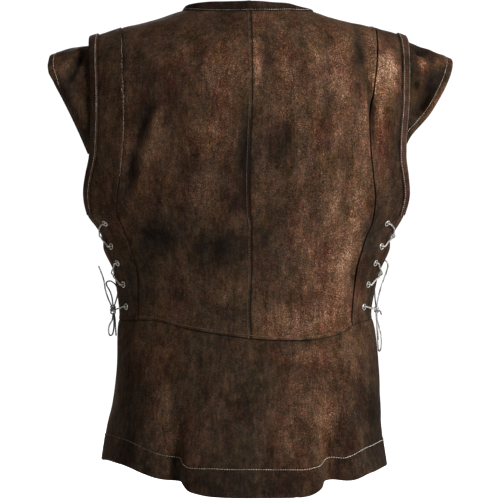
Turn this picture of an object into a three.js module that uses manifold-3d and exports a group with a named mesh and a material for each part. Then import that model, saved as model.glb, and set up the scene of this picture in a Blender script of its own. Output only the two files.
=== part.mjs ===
// A leather jerkin: a sleeveless suede body with a waist seam and a short skirt, small cap
// sleeves, a bound neck and armholes, and a lace through eyelets down each side. It is worn,
// with nobody in it, so every panel is a thin wall round an empty hollow.
//
// Millimetres. +X is the wearer's right, +Y the wearer's front, +Z up. The origin is the middle
// of the neck, level with the inner ends of the shoulders.

import * as THREE from "three";
import Module from "manifold-3d";
import { mergeVertices } from "three/addons/utils/BufferGeometryUtils.js";

const wasm = await Module();
wasm.setup();

// ---------------------------------------------------------------- driving dimensions

const LEATHER = 2; // one layer of suede
const SEAM_GAP = 0.3; // space between two sewn edges
const LAID_GAP = 0.4; // space between a panel and what lies on it or under it

const YOKE_Z = -130; // above this height the walls turn over towards the shoulders
const TWIST = 7; // the middle of the back hangs this far to the wearer's right, the front to the left

const NECK_HALF = 97; // from the middle to the inner end of a shoulder
const NECK_DROP = { back: 9, front: 95 };

const HEM_TURN = 36; // leather turned up inside and stitched

const BAND = { width: 14, thick: 1.6 }; // strip round each armhole
const ARMHOLE_FOOT_Z = -287; // the armhole ends here, above the lacing
const CAP_FOOT_Z = -200; // the cap sleeve starts here on each side of the shoulder
const CAP_TUCK = 8; // how far the cap sleeve reaches in under the panels
const CAP_GAP = 1; // between the cap sleeve and the panels over it
const CAP_DROP = 4; // and how far it sinks away from them at their edge

const EYELET = { hole: 2.4, barrel: 2.9, flange: 4.3, lip: 3.9, seat: 0.9, proud: 0.8, depth: 3.4 };
const EYELET_LIP_BEVEL = 0.3;
const PUNCH = EYELET.barrel + SEAM_GAP;
const LACE = 2.2; // diameter of the cord

// The eyelets of one laced edge, from the waist up: the height of each, and how far its middle
// is in from the edge.
const EYELET_ROWS = [
  { z: -415, inset: 28 },
  { z: -384, inset: 28 },
  { z: -354, inset: 28 },
  { z: -331, inset: 29 },
  { z: -299, inset: 36 },
];
const ROW_OVER_SWELL = -314; // one more row of points, where the body swells out over the waist

// The body's level sections. width is half the width, and back and front are the depths on
// each side of the side line. square is the oval's exponent: 2 is an ellipse, and less is more
// pointed at the sides. middle is how far the section hangs to one side.
const SECTIONS = [
  { z: -680, width: 207, back: 150, front: 140, square: 2.15, middle: -5 },
  { z: -640, width: 202, back: 144, front: 135, square: 2.15, middle: -5 },
  { z: -585, width: 194, back: 134, front: 129, square: 2.1, middle: -5 },
  { z: -551, width: 189, back: 127, front: 125, square: 2.1, middle: -2 },
  { z: -500, width: 185, back: 117, front: 121, square: 2.0, middle: 0 },
  { z: -450, width: 182, back: 109, front: 118, square: 1.9, middle: -2 },
  { z: -425, width: 179, back: 107, front: 118, square: 1.8, middle: -3 },
  { z: -385, width: 185, back: 108, front: 120, square: 1.75, middle: -2 },
  { z: -364, width: 190, back: 110, front: 121, square: 1.75, middle: -1 },
  { z: -336, width: 203, back: 114, front: 123, square: 1.75, middle: -1 },
  { z: -318, width: 205, back: 117, front: 124, square: 1.75, middle: -1 },
  { z: -303, width: 215, back: 119, front: 125, square: 1.8, middle: -1 },
  { z: -288, width: 228, back: 121, front: 126, square: 1.85, middle: -3 },
  { z: -262, width: 243, back: 125, front: 127, square: 1.95, middle: -4 },
  { z: -235, width: 246, back: 128, front: 127, square: 2.0, middle: -4 },
  { z: -200, width: 245, back: 129, front: 125, square: 2.1, middle: -3 },
  { z: YOKE_Z, width: 247, back: 124, front: 116, square: 2.2, middle: 0 },
];

// The ridge of the shoulders, from the middle outwards. Inside the neck it is never cut.
const SHOULDER = [
  { x: 0, z: 28 },
  { x: 60, z: 12 },
  { x: 97, z: -1 },
  { x: 116, z: -7.5 },
  { x: 140, z: -14.5 },
  { x: 182, z: -24.5 },
  { x: 212, z: -32 },
  { x: 230, z: -38 },
  { x: 255, z: -50 },
];

// The seam between a middle panel and a side panel: its distance from the middle on each side.
const PANEL_SEAM = [
  { z: -455, left: 151, right: 142 },
  { z: -403, left: 154, right: 145 },
  { z: -363, left: 157, right: 149 },
  { z: -322, left: 168, right: 160 },
  { z: -289, left: 180, right: 171 },
  { z: -265, left: 180, right: 173 },
  { z: -238, left: 176, right: 170 },
  { z: -188, left: 171, right: 164 },
  { z: -141, left: 173, right: 164 },
  { z: -76, left: 177, right: 172 },
  { z: -26, left: 178, right: 178 },
];

// The open edge of a side panel: how far round the body it lies, in degrees from the middle of
// the back. Below the armhole's foot it is the laced edge, and above it the armhole.
const OPEN_EDGE = [
  { z: -460, left: 85, right: 80 },
  { z: -309, left: 84.5, right: 80 },
  { z: -299, left: 82, right: 78 },
  { z: -290, left: 78, right: 75.5 },
  { z: -278, left: 73, right: 72 },
  { z: -262, left: 68.5, right: 68.5 },
  { z: -235, left: 65, right: 65 },
  { z: -206, left: 62, right: 62 },
  { z: YOKE_Z, left: 61, right: 61 },
  { z: -80, left: 62, right: 62 },
  { z: -36, left: 63.5, right: 63.5 },
];

// How far the neckband stands above the neck edge, by distance from the middle.
const NECKBAND_RISE = {
  back: [
    { x: -97, rise: 4 },
    { x: -85, rise: 8 },
    { x: -58, rise: 11 },
    { x: 0, rise: 12 },
    { x: 40, rise: 11 },
    { x: 70, rise: 10 },
    { x: 86, rise: 8 },
    { x: 97, rise: 3 },
  ],
  front: [
    { x: -97, rise: 4 },
    { x: 0, rise: 9 },
    { x: 97, rise: 4 },
  ],
};

// The height of the waist seam, by distance from the middle.
const WAIST = {
  back: [
    { x: -182, z: -433 },
    { x: -131, z: -432 },
    { x: -77, z: -443 },
    { x: 7, z: -455 },
    { x: 61, z: -457 },
    { x: 97, z: -454 },
    { x: 125, z: -447 },
    { x: 150, z: -436 },
    { x: 182, z: -431 },
  ],
  front: [
    { x: -182, z: -433 },
    { x: -110, z: -440 },
    { x: 0, z: -452 },
    { x: 110, z: -440 },
    { x: 182, z: -431 },
  ],
};

// The hem's height, by distance from the middle.
const HEM = {
  back: [
    { x: -206, z: -630 },
    { x: -160, z: -628 },
    { x: -117, z: -641 },
    { x: -93, z: -643 },
    { x: -81, z: -655 },
    { x: -58, z: -660 },
    { x: -20, z: -663 },
    { x: 56, z: -663 },
    { x: 92, z: -656 },
    { x: 108, z: -644 },
    { x: 138, z: -645 },
    { x: 162, z: -639 },
    { x: 197, z: -638 },
  ],
  front: [
    { x: -206, z: -630 },
    { x: -120, z: -640 },
    { x: -60, z: -652 },
    { x: 0, z: -656 },
    { x: 60, z: -654 },
    { x: 120, z: -644 },
    { x: 197, z: -638 },
  ],
};

// Flutes of the skirt: where each one is, its reach to each side, and how far it stands out
// (or in) at the hem.
const FLUTES = {
  back: [
    { x: -150, reach: 26, out: 5 },
    { x: -102, reach: 18, out: -17 },
    { x: -66, reach: 18, out: 5 },
    { x: 14, reach: 34, out: -4 },
    { x: 82, reach: 16, out: 5 },
    { x: 116, reach: 18, out: -17 },
    { x: 156, reach: 20, out: 5 },
  ],
  front: [
    { x: -146, reach: 24, out: 4 },
    { x: -112, reach: 22, out: -13 },
    { x: -68, reach: 22, out: 6 },
    { x: -12, reach: 28, out: -8 },
    { x: 46, reach: 24, out: 5 },
    { x: 100, reach: 22, out: -15 },
    { x: 146, reach: 22, out: 4 },
  ],
};

// The outer edge of each cap sleeve, from its foot to the top of the shoulder.
const CAP_EDGE = [
  { z: -204, left: 220, right: 212 },
  { z: -180, left: 227, right: 225 },
  { z: -152, left: 241, right: 249 },
  { z: -124, left: 259, right: 268 },
  { z: -96, left: 273, right: 281 },
  { z: -76, left: 280, right: 286 },
  { z: -60, left: 277, right: 269 },
];

// The knot of each bow hangs outside the laced gap.
const KNOTS = {
  left: { centre: [-189.5, -8, -420], radii: [3.2, 4.6, 6] },
  right: { centre: [181.8, -9, -419.5], radii: [2.6, 3.8, 4.4] },
};
const KNOT_GAP = 0.6; // between a knot and the middle of a cord's end

// The loops and the free ends of each bow, as points chosen along each cord. The first point,
// and a loop's last one, says where on the knot the cord comes out.
const BOWS = {
  left: {
    loop_up: [
      [-189.8, -6.4, -412.4],
      [-191.2, -7.4, -402.5],
      [-194.4, -9, -392.6],
      [-198.2, -10, -386],
      [-198.6, -9.4, -381.6],
      [-194.5, -6, -379.6],
      [-189.2, -1, -382.4],
      [-185, 1.6, -388],
      [-183.6, 2.4, -396],
      [-185.6, 0, -406],
      [-187.4, -2.6, -412.2],
    ],
    loop_down: [
      [-189.2, -10.6, -427.8],
      [-190.4, -12.2, -434.5],
      [-193.8, -14, -441],
      [-195.2, -15, -449],
      [-193.4, -14, -456],
      [-190.2, -12, -454.8],
      [-188.6, -9.6, -448.5],
      [-188.2, -7.4, -441],
      [-188.4, -5.8, -434],
      [-188.8, -5.4, -428],
    ],
    end_up: [
      [-192.2, -10, -413.2],
      [-196.4, -12.4, -403],
      [-199.8, -14.4, -391.5],
      [-201.4, -15.6, -380],
      [-204.6, -16.4, -369.5],
      [-208.6, -17, -359.3],
    ],
    end_down: [
      [-187, -2, -427.4],
      [-187.6, 3, -435],
      [-187.4, 8, -446],
      [-187, 12, -457],
    ],
  },
  right: {
    loop_up: [
      [182.4, -8.6, -413.4],
      [184, -8.8, -404],
      [188, -8.6, -388.3],
      [195.8, -7.6, -367],
      [198, -6.4, -357.4],
      [196, -4.4, -351.8],
      [191.8, -1.6, -350.8],
      [186.4, 0.6, -354.4],
      [181, 1, -361],
      [179.2, 1, -372],
      [179.4, 0, -388],
      [180, -2.4, -402],
      [180.6, -5, -412.6],
    ],
    loop_down: [
      [182, -8.2, -425],
      [182.4, -8.4, -432],
      [184.8, -8.6, -442],
      [188, -8.4, -456],
      [188.8, -7, -469],
      [187.6, -3.4, -477.5],
      [185.8, 2, -478.6],
      [185, 7, -470],
      [184.4, 9, -456],
      [183.6, 8, -442],
      [182.6, 3, -432],
      [182, -2.6, -425.4],
    ],
    end_up: [
      [184.8, -10.4, -420.8],
      [187, -11.6, -422.4],
      [188, -13.2, -426.4],
    ],
    end_down: [
      [180.6, -11.8, -424.6],
      [181.2, -13, -432],
      [182, -14, -441],
      [183, -14.8, -451],
      [183.8, -15.4, -461],
    ],
  },
};

// ---------------------------------------------------------------- reading the tables

// A smooth curve through a table's rows: the value of one column where key is at.
function read(table, key, column, at) {
  const last = table.length - 1;
  if (at <= table[0][key]) return table[0][column];
  if (at >= table[last][key]) return table[last][column];
  const i = table.findIndex((row) => row[key] > at) - 1;
  const slope = (k) => {
    const a = table[Math.max(k - 1, 0)];
    const b = table[Math.min(k + 1, last)];
    return (b[column] - a[column]) / (b[key] - a[key]);
  };
  const span = table[i + 1][key] - table[i][key];
  const t = (at - table[i][key]) / span;
  return (
    table[i][column] * (1 + 2 * t) * (1 - t) ** 2 +
    slope(i) * span * t * (1 - t) ** 2 +
    table[i + 1][column] * t * t * (3 - 2 * t) +
    slope(i + 1) * span * t * t * (t - 1)
  );
}

const mix = (a, b, t) => a + (b - a) * t;
const shares = (count) => Array.from({ length: count + 1 }, (_, i) => i / count);
const vector = ([x, y, z]) => new THREE.Vector3(x, y, z);
const sideName = (side) => (side > 0 ? "right" : "left");

// ---------------------------------------------------------------- the body's form

// A place on the body is given by half, turn and climb. turn is the angle round the body from
// the middle of that half, positive to the wearer's right. climb is the height above YOKE_Z
// where it is negative, and the share of the way over to the shoulder's ridge from 0 to 1.

const SIDE = Math.PI / 2; // the turn at the side line, where back and front meet
const BACK = { name: "back", sign: -1 };
const FRONT = { name: "front", sign: 1 };

const section = (column, z) => read(SECTIONS, "z", column, Math.min(z, YOKE_Z));
const ridge = (x) => read(SHOULDER, "x", "z", Math.abs(x));

function across(turn, z) {
  const bend = 2 / section("square", z);
  return Math.sign(turn) * section("width", z) * Math.abs(Math.sin(turn)) ** bend;
}

const heightOf = (climb, x) =>
  climb <= 0
    ? YOKE_Z + climb
    : YOKE_Z + (ridge(x) - YOKE_Z) * Math.sin((climb * Math.PI) / 2);

function bodyPoint(half, turn, climb) {
  const z = YOKE_Z + Math.min(climb, 0);
  const x = across(turn, z);
  const round = Math.max(0, Math.cos(turn)) ** (2 / section("square", z));
  const lean = climb > 0 ? Math.cos((climb * Math.PI) / 2) : 1;
  const y = half.sign * section(half.name, z) * round * lean;
  const shift = section("middle", z) - half.sign * TWIST * round * lean;
  return new THREE.Vector3(x + shift, y, heightOf(climb, x));
}

// The outward normal of a surface that is a function of two numbers.
function normalOf(surface, u, v, du, dv, outward) {
  const along = surface(u + du, v).sub(surface(u - du, v));
  const up = surface(u, v + dv).sub(surface(u, v - dv));
  const normal = along.cross(up).normalize();
  return normal.dot(outward) < 0 ? normal.negate() : normal;
}

function bodyPlace(half, turn, climb) {
  const point = bodyPoint(half, turn, climb);
  const outward = new THREE.Vector3(point.x, point.y, climb > 0 ? 200 * climb : 0);
  const stepUp = climb > 0 ? 0.004 : 0.5;
  const surface = (a, b) => bodyPoint(half, a, b);
  return { point, normal: normalOf(surface, turn, climb, 0.002, stepUp, outward) };
}

// The turn at which a section reaches the distance x from the middle.
function turnAt(x, z) {
  const share = Math.min(1, Math.abs(x) / section("width", z));
  return Math.sign(x) * Math.asin(share ** (section("square", z) / 2));
}

// The front's edges are as far from the back's as the lace lets them be, so where the back
// reaches further round, the front reaches less.
const edgeTurn = (half, side, z) =>
  THREE.MathUtils.degToRad(read(OPEN_EDGE, "z", sideName(-half.sign * side), z));

const seamX = (side, z) => read(PANEL_SEAM, "z", sideName(side), z);

const waistHeight = (half, turn) =>
  read(WAIST[half.name], "x", "z", across(turn, WAIST.back[0].z));

// How far a column at distance x climbs: to the neckline, or over to the shoulder's ridge.
function topClimb(half, x) {
  if (Math.abs(x) >= NECK_HALF - 0.01) return 1;
  const neck = ridge(NECK_HALF) - NECK_DROP[half.name] * (1 - (Math.abs(x) / NECK_HALF) ** 2.3);
  return (Math.asin((neck - YOKE_Z) / (ridge(x) - YOKE_Z)) * 2) / Math.PI;
}

// ---------------------------------------------------------------- walls

// A closed wall on a grid of places, with its outer face on the grid. thick is one thickness,
// or one for each row. A ring closes on itself across its columns.
function wall(grid, thick, ring = false) {
  const rows = grid.length;
  const columns = grid[0].length;
  const thickness = (i) => (Array.isArray(thick) ? thick[i] : thick);
  const positions = [];
  for (const inner of [0, 1])
    grid.forEach((row, i) =>
      row.forEach(({ point, normal }) =>
        positions.push(...point.clone().addScaledVector(normal, -inner * thickness(i))),
      ),
    );
  const index = [];
  const at = (k) => new THREE.Vector3().fromArray(positions, k * 3);
  const shorter = (a, c, b, d) => at(a).distanceTo(at(c)) <= at(b).distanceTo(at(d)) + 1e-3;
  const quad = (a, b, c, d) =>
    index.push(...(shorter(a, c, b, d) ? [a, b, c, a, c, d] : [b, c, d, b, d, a]));
  const id = (i, j, inner = 0) => inner * rows * columns + i * columns + (j % columns);
  const last = ring ? columns : columns - 1;
  for (let i = 0; i < rows - 1; i++)
    for (let j = 0; j < last; j++) {
      quad(id(i, j), id(i, j + 1), id(i + 1, j + 1), id(i + 1, j));
      quad(id(i + 1, j, 1), id(i + 1, j + 1, 1), id(i, j + 1, 1), id(i, j, 1));
    }
  const top = rows - 1;
  for (let j = 0; j < last; j++) {
    quad(id(0, j), id(0, j, 1), id(0, j + 1, 1), id(0, j + 1));
    quad(id(top, j), id(top, j + 1), id(top, j + 1, 1), id(top, j, 1));
  }
  for (let i = 0; i < rows - 1 && !ring; i++) {
    quad(id(i, 0), id(i + 1, 0), id(i + 1, 0, 1), id(i, 0, 1));
    quad(id(i, last), id(i, last, 1), id(i + 1, last, 1), id(i + 1, last));
  }
  return facingOut(positions, index);
}

// A geometry of the given triangles, turned round as a whole if they face inwards.
function facingOut(positions, index) {
  const corner = (k) => new THREE.Vector3().fromArray(positions, index[k] * 3);
  let volume = 0;
  for (let k = 0; k < index.length; k += 3)
    volume += corner(k).dot(corner(k + 1).cross(corner(k + 2)));
  if (volume < 0)
    for (let k = 0; k < index.length; k += 3)
      [index[k], index[k + 1]] = [index[k + 1], index[k]];
  const geometry = new THREE.BufferGeometry();
  geometry.setAttribute("position", new THREE.Float32BufferAttribute(positions, 3));
  return geometry.setIndex(index);
}

// Draws a grid's four edges in by half a seam gap, so that sewn neighbours don't touch.
function trimmed(grid) {
  const inward = (edge, next) =>
    edge.forEach((place, k) => {
      const way = next[k].point.clone().sub(place.point).setLength(SEAM_GAP / 2);
      place.point.add(way);
    });
  const column = (j) => grid.map((row) => row.at(j));
  inward(grid[0], grid[1]);
  inward(grid.at(-1), grid.at(-2));
  inward(column(0), column(1));
  inward(column(-1), column(-2));
  return grid;
}

// A place moved out along its normal.
const lifted = ({ point, normal }, out) => ({
  point: point.clone().addScaledVector(normal, out),
  normal,
});

// ---------------------------------------------------------------- body panels

const YOKE_STEPS = 4;
const NECK_COLUMNS = 5;
const SHOULDER_COLUMNS = 3;

// Row heights from the waist to the yoke. Each eyelet, armhole foot and cap foot has its own.
const BODY_ROWS = [
  ...[...EYELET_ROWS.map((row) => row.z), ROW_OVER_SWELL].sort((a, b) => a - b),
  ...[ARMHOLE_FOOT_Z, -262, -235, CAP_FOOT_Z, -165, YOKE_Z],
];

// Each row has the height at which its seams are read, and the climb of any point on it.
function bodyRows(half) {
  const yoke = shares(YOKE_STEPS).slice(1);
  return [
    { z: WAIST.back[0].z, climb: (turn) => waistHeight(half, turn) - YOKE_Z },
    ...BODY_ROWS.map((z) => ({ z, climb: () => z - YOKE_Z })),
    ...yoke.map((share) => ({
      z: heightOf(share, SHOULDER_SEAM_X),
      climb: (turn) => share * topClimb(half, across(turn, YOKE_Z)),
    })),
  ];
}

const bodyGrid = (half, turnsOf) =>
  bodyRows(half).map((row) =>
    turnsOf(row.z).map((turn) => bodyPlace(half, turn, row.climb(turn))),
  );

// Columns from the middle to the panel seam, as shares of that distance. They close up towards
// the side of the neck, where its edge turns.
const SHOULDER_SEAM_X = PANEL_SEAM.at(-1).left;
const NECK_SHARE = NECK_HALF / SHOULDER_SEAM_X;
const MIDDLE_SHARES = [
  ...shares(NECK_COLUMNS).map((share) => NECK_SHARE * Math.sin((share * Math.PI) / 2)),
  ...shares(SHOULDER_COLUMNS)
    .slice(1)
    .map((share) => mix(NECK_SHARE, 1, share)),
];

const middleTurns = (side, z) =>
  MIDDLE_SHARES.map((share) => turnAt(side * share * seamX(side, z), z));

// Columns from the panel seam to the open edge. One runs through the eyelets, and the next is
// the inner side of the armhole's band.
function sideTurns(half, side, z) {
  const seam = turnAt(seamX(side, z), z);
  const insets = [eyeletInset(z), BAND.width].map((inset) => insetTurn(half, side, z, inset));
  return [Math.abs(seam), ...insets, edgeTurn(half, side, z)].map((turn) => side * turn);
}

const eyeletInset = (z) => read(EYELET_ROWS, "z", "inset", z);

// The turn that lies a given distance in from the open edge.
function insetTurn(half, side, z, distance) {
  const climb = climbAt(z);
  const edge = bodyPoint(half, side * edgeTurn(half, side, z), climb);
  let turn = edgeTurn(half, side, z);
  while (bodyPoint(half, side * turn, climb).distanceTo(edge) < distance) turn -= 0.001;
  return turn;
}

// The climb of a row, from the height at which its seams are read.
function climbAt(z) {
  if (z <= YOKE_Z) return z - YOKE_Z;
  const share = (z - YOKE_Z) / (ridge(SHOULDER_SEAM_X) - YOKE_Z);
  return (Math.asin(Math.min(1, share)) * 2) / Math.PI;
}

const backPanel = (side) => wall(trimmed(bodyGrid(BACK, (z) => middleTurns(side, z))), LEATHER);

const sideGrid = (half, side) => bodyGrid(half, (z) => sideTurns(half, side, z));

function sidePanel(side) {
  return punched(wall(trimmed(sideGrid(BACK, side)), LEATHER), BACK, [side]);
}

function frontPanel() {
  const turns = (z) => [
    ...sideTurns(FRONT, -1, z).reverse(),
    ...middleTurns(-1, z).reverse().slice(1),
    ...middleTurns(1, z).slice(1),
    ...sideTurns(FRONT, 1, z).slice(1),
  ];
  return punched(wall(trimmed(bodyGrid(FRONT, turns)), LEATHER), FRONT, [-1, 1]);
}

// A panel with its eyelet holes.
function punched(geometry, half, sides) {
  let panel = solidOf(geometry);
  for (const side of sides)
    for (const { z } of EYELET_ROWS) {
      const punch = new THREE.CylinderGeometry(PUNCH, PUNCH, 6 * LEATHER, 8);
      panel = panel.subtract(solidOf(stoodAt(punch, eyeletPlace(half, side, z))));
    }
  return geometryOf(panel);
}

// ---------------------------------------------------------------- skirt

const SKIRT_ROWS = 5;

const flute = (half, x) =>
  FLUTES[half.name].reduce(
    (sum, fold) => sum + fold.out * Math.exp(-(((x - fold.x) / fold.reach) ** 2)),
    0,
  );

// down is 0 at the waist seam and 1 at the hem.
function skirtPoint(half, turn, down) {
  const hemX = across(turn, HEM.back[0].z);
  const z = mix(waistHeight(half, turn), read(HEM[half.name], "x", "z", hemX), down);
  const point = bodyPoint(half, turn, z - YOKE_Z);
  const out = flute(half, hemX) * Math.max(0, Math.cos(turn)) * Math.max(0, down) ** 1.5;
  const away = new THREE.Vector3(point.x / 2, point.y, 0).normalize();
  return point.addScaledVector(away, out);
}

// The body's columns at the waist, and one more at the middle of each laced gap.
function skirtTurns(half) {
  const z = WAIST.back[0].z;
  const quarter = (side) => [
    ...middleTurns(side, z).slice(1),
    ...sideTurns(half, side, z).slice(1),
    side * SIDE,
  ];
  return [...quarter(-1).reverse(), 0, ...quarter(1)];
}

function skirt(half) {
  const length = WAIST.back[0].z - HEM.back[0].z;
  const fold = 1 - HEM_TURN / length;
  const rows = [...shares(SKIRT_ROWS - 1).map((share) => share * fold), fold + 0.004, 1];
  const surface = (turn, down) => skirtPoint(half, turn, down);
  const grid = rows.map((down) =>
    skirtTurns(half).map((turn) => {
      const point = surface(turn, down);
      const outward = new THREE.Vector3(point.x, point.y, 0);
      const normal = normalOf(surface, turn * 0.99, down, 0.01, 0.02, outward);
      if (Math.abs(turn) === SIDE) normal.setY(0).normalize();
      return { point, normal };
    }),
  );
  return wall(
    trimmed(grid),
    rows.map((down) => (down > fold ? 2 * LEATHER : LEATHER)),
  );
}

// ---------------------------------------------------------------- neckband

// The neck edge, all round, from the shoulder on the wearer's left and across the back.
function neckline() {
  const quarter = (half, side) =>
    bodyGrid(half, (z) => middleTurns(side, z))
      .at(-1)
      .slice(0, NECK_COLUMNS + 1)
      .map((place) => ({
        ...place,
        rise: read(NECKBAND_RISE[half.name], "x", "rise", place.point.x),
      }));
  return [
    ...quarter(BACK, -1).reverse(),
    ...quarter(BACK, 1).slice(1),
    ...quarter(FRONT, 1).reverse().slice(1),
    ...quarter(FRONT, -1).slice(1, -1),
  ];
}

// A band that stands on the neck edge and leans in over it.
function neckband() {
  const ring = (share) =>
    neckline().map(({ point, normal, rise }) => {
      const inward = new THREE.Vector3(-point.x, -point.y, 0).setLength(0.35);
      const up = new THREE.Vector3(0, 0, 1).add(inward).normalize();
      return { point: point.clone().addScaledVector(up, mix(SEAM_GAP, rise, share)), normal };
    });
  return wall(shares(2).map(ring), LEATHER, true);
}

// ---------------------------------------------------------------- armholes and caps

// The side panels' last strip of columns, from the armhole's foot at the back, over the
// shoulder, to its foot at the front. Each row is the pair of its inner place and its edge.
function armholeStrip(side, footZ) {
  const pairs = (half) =>
    sideGrid(half, side)
      .filter((_, i) => bodyRows(half)[i].z > footZ - 1)
      .map((row) => row.slice(-2));
  return [...pairs(BACK), ...pairs(FRONT).reverse().slice(1)];
}

function armholeBand(side) {
  const out = LAID_GAP + BAND.thick;
  const grid = armholeStrip(side, ARMHOLE_FOOT_Z).map((row) =>
    row.map((place) => lifted(place, out)),
  );
  return wall(trimmed(grid), BAND.thick);
}

// A cap sleeve: held under the armhole's edge, and flaring out to its own edge.
function capSleeve(side) {
  const under = -LEATHER - CAP_GAP;
  const strip = armholeStrip(side, CAP_FOOT_Z);
  const topZ = Math.max(...strip.map(([, edge]) => edge.point.z));
  const grid = strip.map(([inner, edge]) => {
    const tucked = lifted(inner, under).point;
    const root = lifted(edge, under).point.lerp(tucked, CAP_TUCK / BAND.width);
    const lip = lifted(edge, under - CAP_DROP);
    const rise = (edge.point.z - CAP_FOOT_Z) / (topZ - CAP_FOOT_Z);
    const rimZ = mix(CAP_EDGE[0].z, CAP_EDGE.at(-1).z, rise);
    const reach = read(CAP_EDGE, "z", sideName(side), rimZ);
    const rim = new THREE.Vector3(side * reach, lip.point.y * 1.05, rimZ);
    const middle = lip.point.clone().lerp(rim, 0.5);
    middle.z += 3 * rise;
    return [root, lip.point, middle, rim];
  });
  return wall(withNormals(grid), LEATHER);
}

// Gives a grid of points their normals, facing up and away from the middle.
function withNormals(points) {
  const at = (i, j) =>
    points[THREE.MathUtils.clamp(i, 0, points.length - 1)][
      THREE.MathUtils.clamp(j, 0, points[0].length - 1)
    ];
  return points.map((row, i) =>
    row.map((point, j) => {
      const along = at(i + 1, j).clone().sub(at(i - 1, j));
      const outward = at(i, j + 1).clone().sub(at(i, j - 1));
      const normal = along.cross(outward).normalize();
      const away = new THREE.Vector3(point.x, point.y * 3, point.z + 200);
      return { point, normal: normal.dot(away) < 0 ? normal.negate() : normal };
    }),
  );
}

// ---------------------------------------------------------------- eyelets

// A place near an open edge, below the yoke: along is the distance from the edge onto the
// panel, and out the distance from its outer face. It lies between the panel's two rows there.
function nearEdge(half, side, z, along, out = 0) {
  const rows = [WAIST.back[0].z, ...BODY_ROWS];
  const above = rows.findIndex((row) => row >= z);
  const [low, high] = [rows[above - 1], rows[above]].map((rowZ) => {
    const turn = side * insetTurn(half, side, rowZ, along);
    return bodyPlace(half, turn, rowZ - YOKE_Z);
  });
  const share = (z - rows[above - 1]) / (rows[above] - rows[above - 1]);
  const point = low.point.lerp(high.point, share);
  const normal = low.normal.lerp(high.normal, share).normalize();
  return lifted({ point, normal }, out);
}

const eyeletPlace = (half, side, z) => nearEdge(half, side, z, eyeletInset(z));

// Stands a geometry that is made along +Y on a place, along its normal.
function stoodAt(geometry, { point, normal }) {
  const turn = new THREE.Quaternion().setFromUnitVectors(new THREE.Vector3(0, 1, 0), normal);
  return geometry.applyQuaternion(turn).translate(point.x, point.y, point.z);
}

// A turned metal ring, with a flange outside the leather and a lip inside it.
function eyelet(half, side, z) {
  const { hole, barrel, flange, lip, seat, proud, depth } = EYELET;
  const profile = [
    [hole, -depth],
    [lip, -depth],
    [barrel, EYELET_LIP_BEVEL - depth],
    [barrel, seat],
    [flange, seat],
    [hole, seat + proud],
    [hole, -depth],
  ].map(([x, y]) => new THREE.Vector2(x, y));
  return stoodAt(new THREE.LatheGeometry(profile, 8), eyeletPlace(half, side, z));
}

// ---------------------------------------------------------------- laces

// The cord's way from the outside of the leather through one eyelet, as seen in a section
// across the edge: distance in from the eyelet's middle towards the edge, and height.
const THROUGH_EYELET = [
  { toEdge: 3.8, out: 3.3 },
  { toEdge: 0.9, out: 2.7 },
  { toEdge: 0, out: 0.4 },
  { toEdge: 0, out: -3.2 },
  { toEdge: 1.2, out: -5.2 },
  { toEdge: 5.2, out: -5.9 },
];
const STRAND_OUT = LACE / 2 + 1; // a strand's height over the leather
const CROSSING = LACE + 2 * LAID_GAP; // and how far one strand bows out over the one it crosses
const GAP_WIDTH = 22; // between the two laced edges

function throughEyelet(side, { half, z }) {
  return THROUGH_EYELET.map(
    ({ toEdge, out }) => nearEdge(half, side, z, eyeletInset(z) - toEdge, out).point,
  );
}

// The part of a strand that lies on the leather, from halfway to the edge, where its height is
// z, to the edge, where it is edgeZ.
const overEdge = (half, side, z, edgeZ) => [
  nearEdge(half, side, (z + edgeZ) / 2, BAND.width, STRAND_OUT).point,
  nearEdge(half, side, edgeZ, 0, STRAND_OUT).point,
];

// A strand outside the leather: over one edge, across the gap and over the other edge.
function outsideStrand(side, from, to, bow) {
  const length = eyeletInset(from.z) + GAP_WIDTH + eyeletInset(to.z);
  const edgeZ = (near, far) => mix(near.z, far.z, eyeletInset(near.z) / length);
  const out = overEdge(from.half, side, from.z, edgeZ(from, to));
  const back = overEdge(to.half, side, to.z, edgeZ(to, from)).reverse();
  const middle = out[1].clone().lerp(back[0], 0.5);
  middle.x += side * bow;
  return [...out, middle, ...back];
}

// A strand inside the leather, from eyelet to eyelet. It bows inwards.
function insideStrand(side, from, to, bow) {
  const middle = throughEyelet(side, from).at(-1).lerp(throughEyelet(side, to).at(-1), 0.5);
  middle.x -= side * bow;
  return [middle];
}

// The middle of a cord's end that all but meets the knot, on the side towards a point.
function onKnot({ centre, radii }, towards) {
  const middle = vector(centre);
  const way = vector(towards).sub(middle);
  const reach = way.clone().divide(vector(radii)).length();
  return middle.addScaledVector(way, 1 / reach).addScaledVector(way.normalize(), KNOT_GAP);
}

// The end of a lace outside its last eyelet: over the edge and out to the knot.
const EDGE_SHARE = 0.7; // the edge is this far along the way to the knot
function leadOut(side, { half, z }) {
  const bow = KNOTS[sideName(side)];
  const edgeZ = mix(z, bow.centre[2], EDGE_SHARE);
  const [onLeather, edge] = overEdge(half, side, z, edgeZ);
  return [onLeather, edge, onKnot(bow, edge.toArray())];
}

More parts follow.
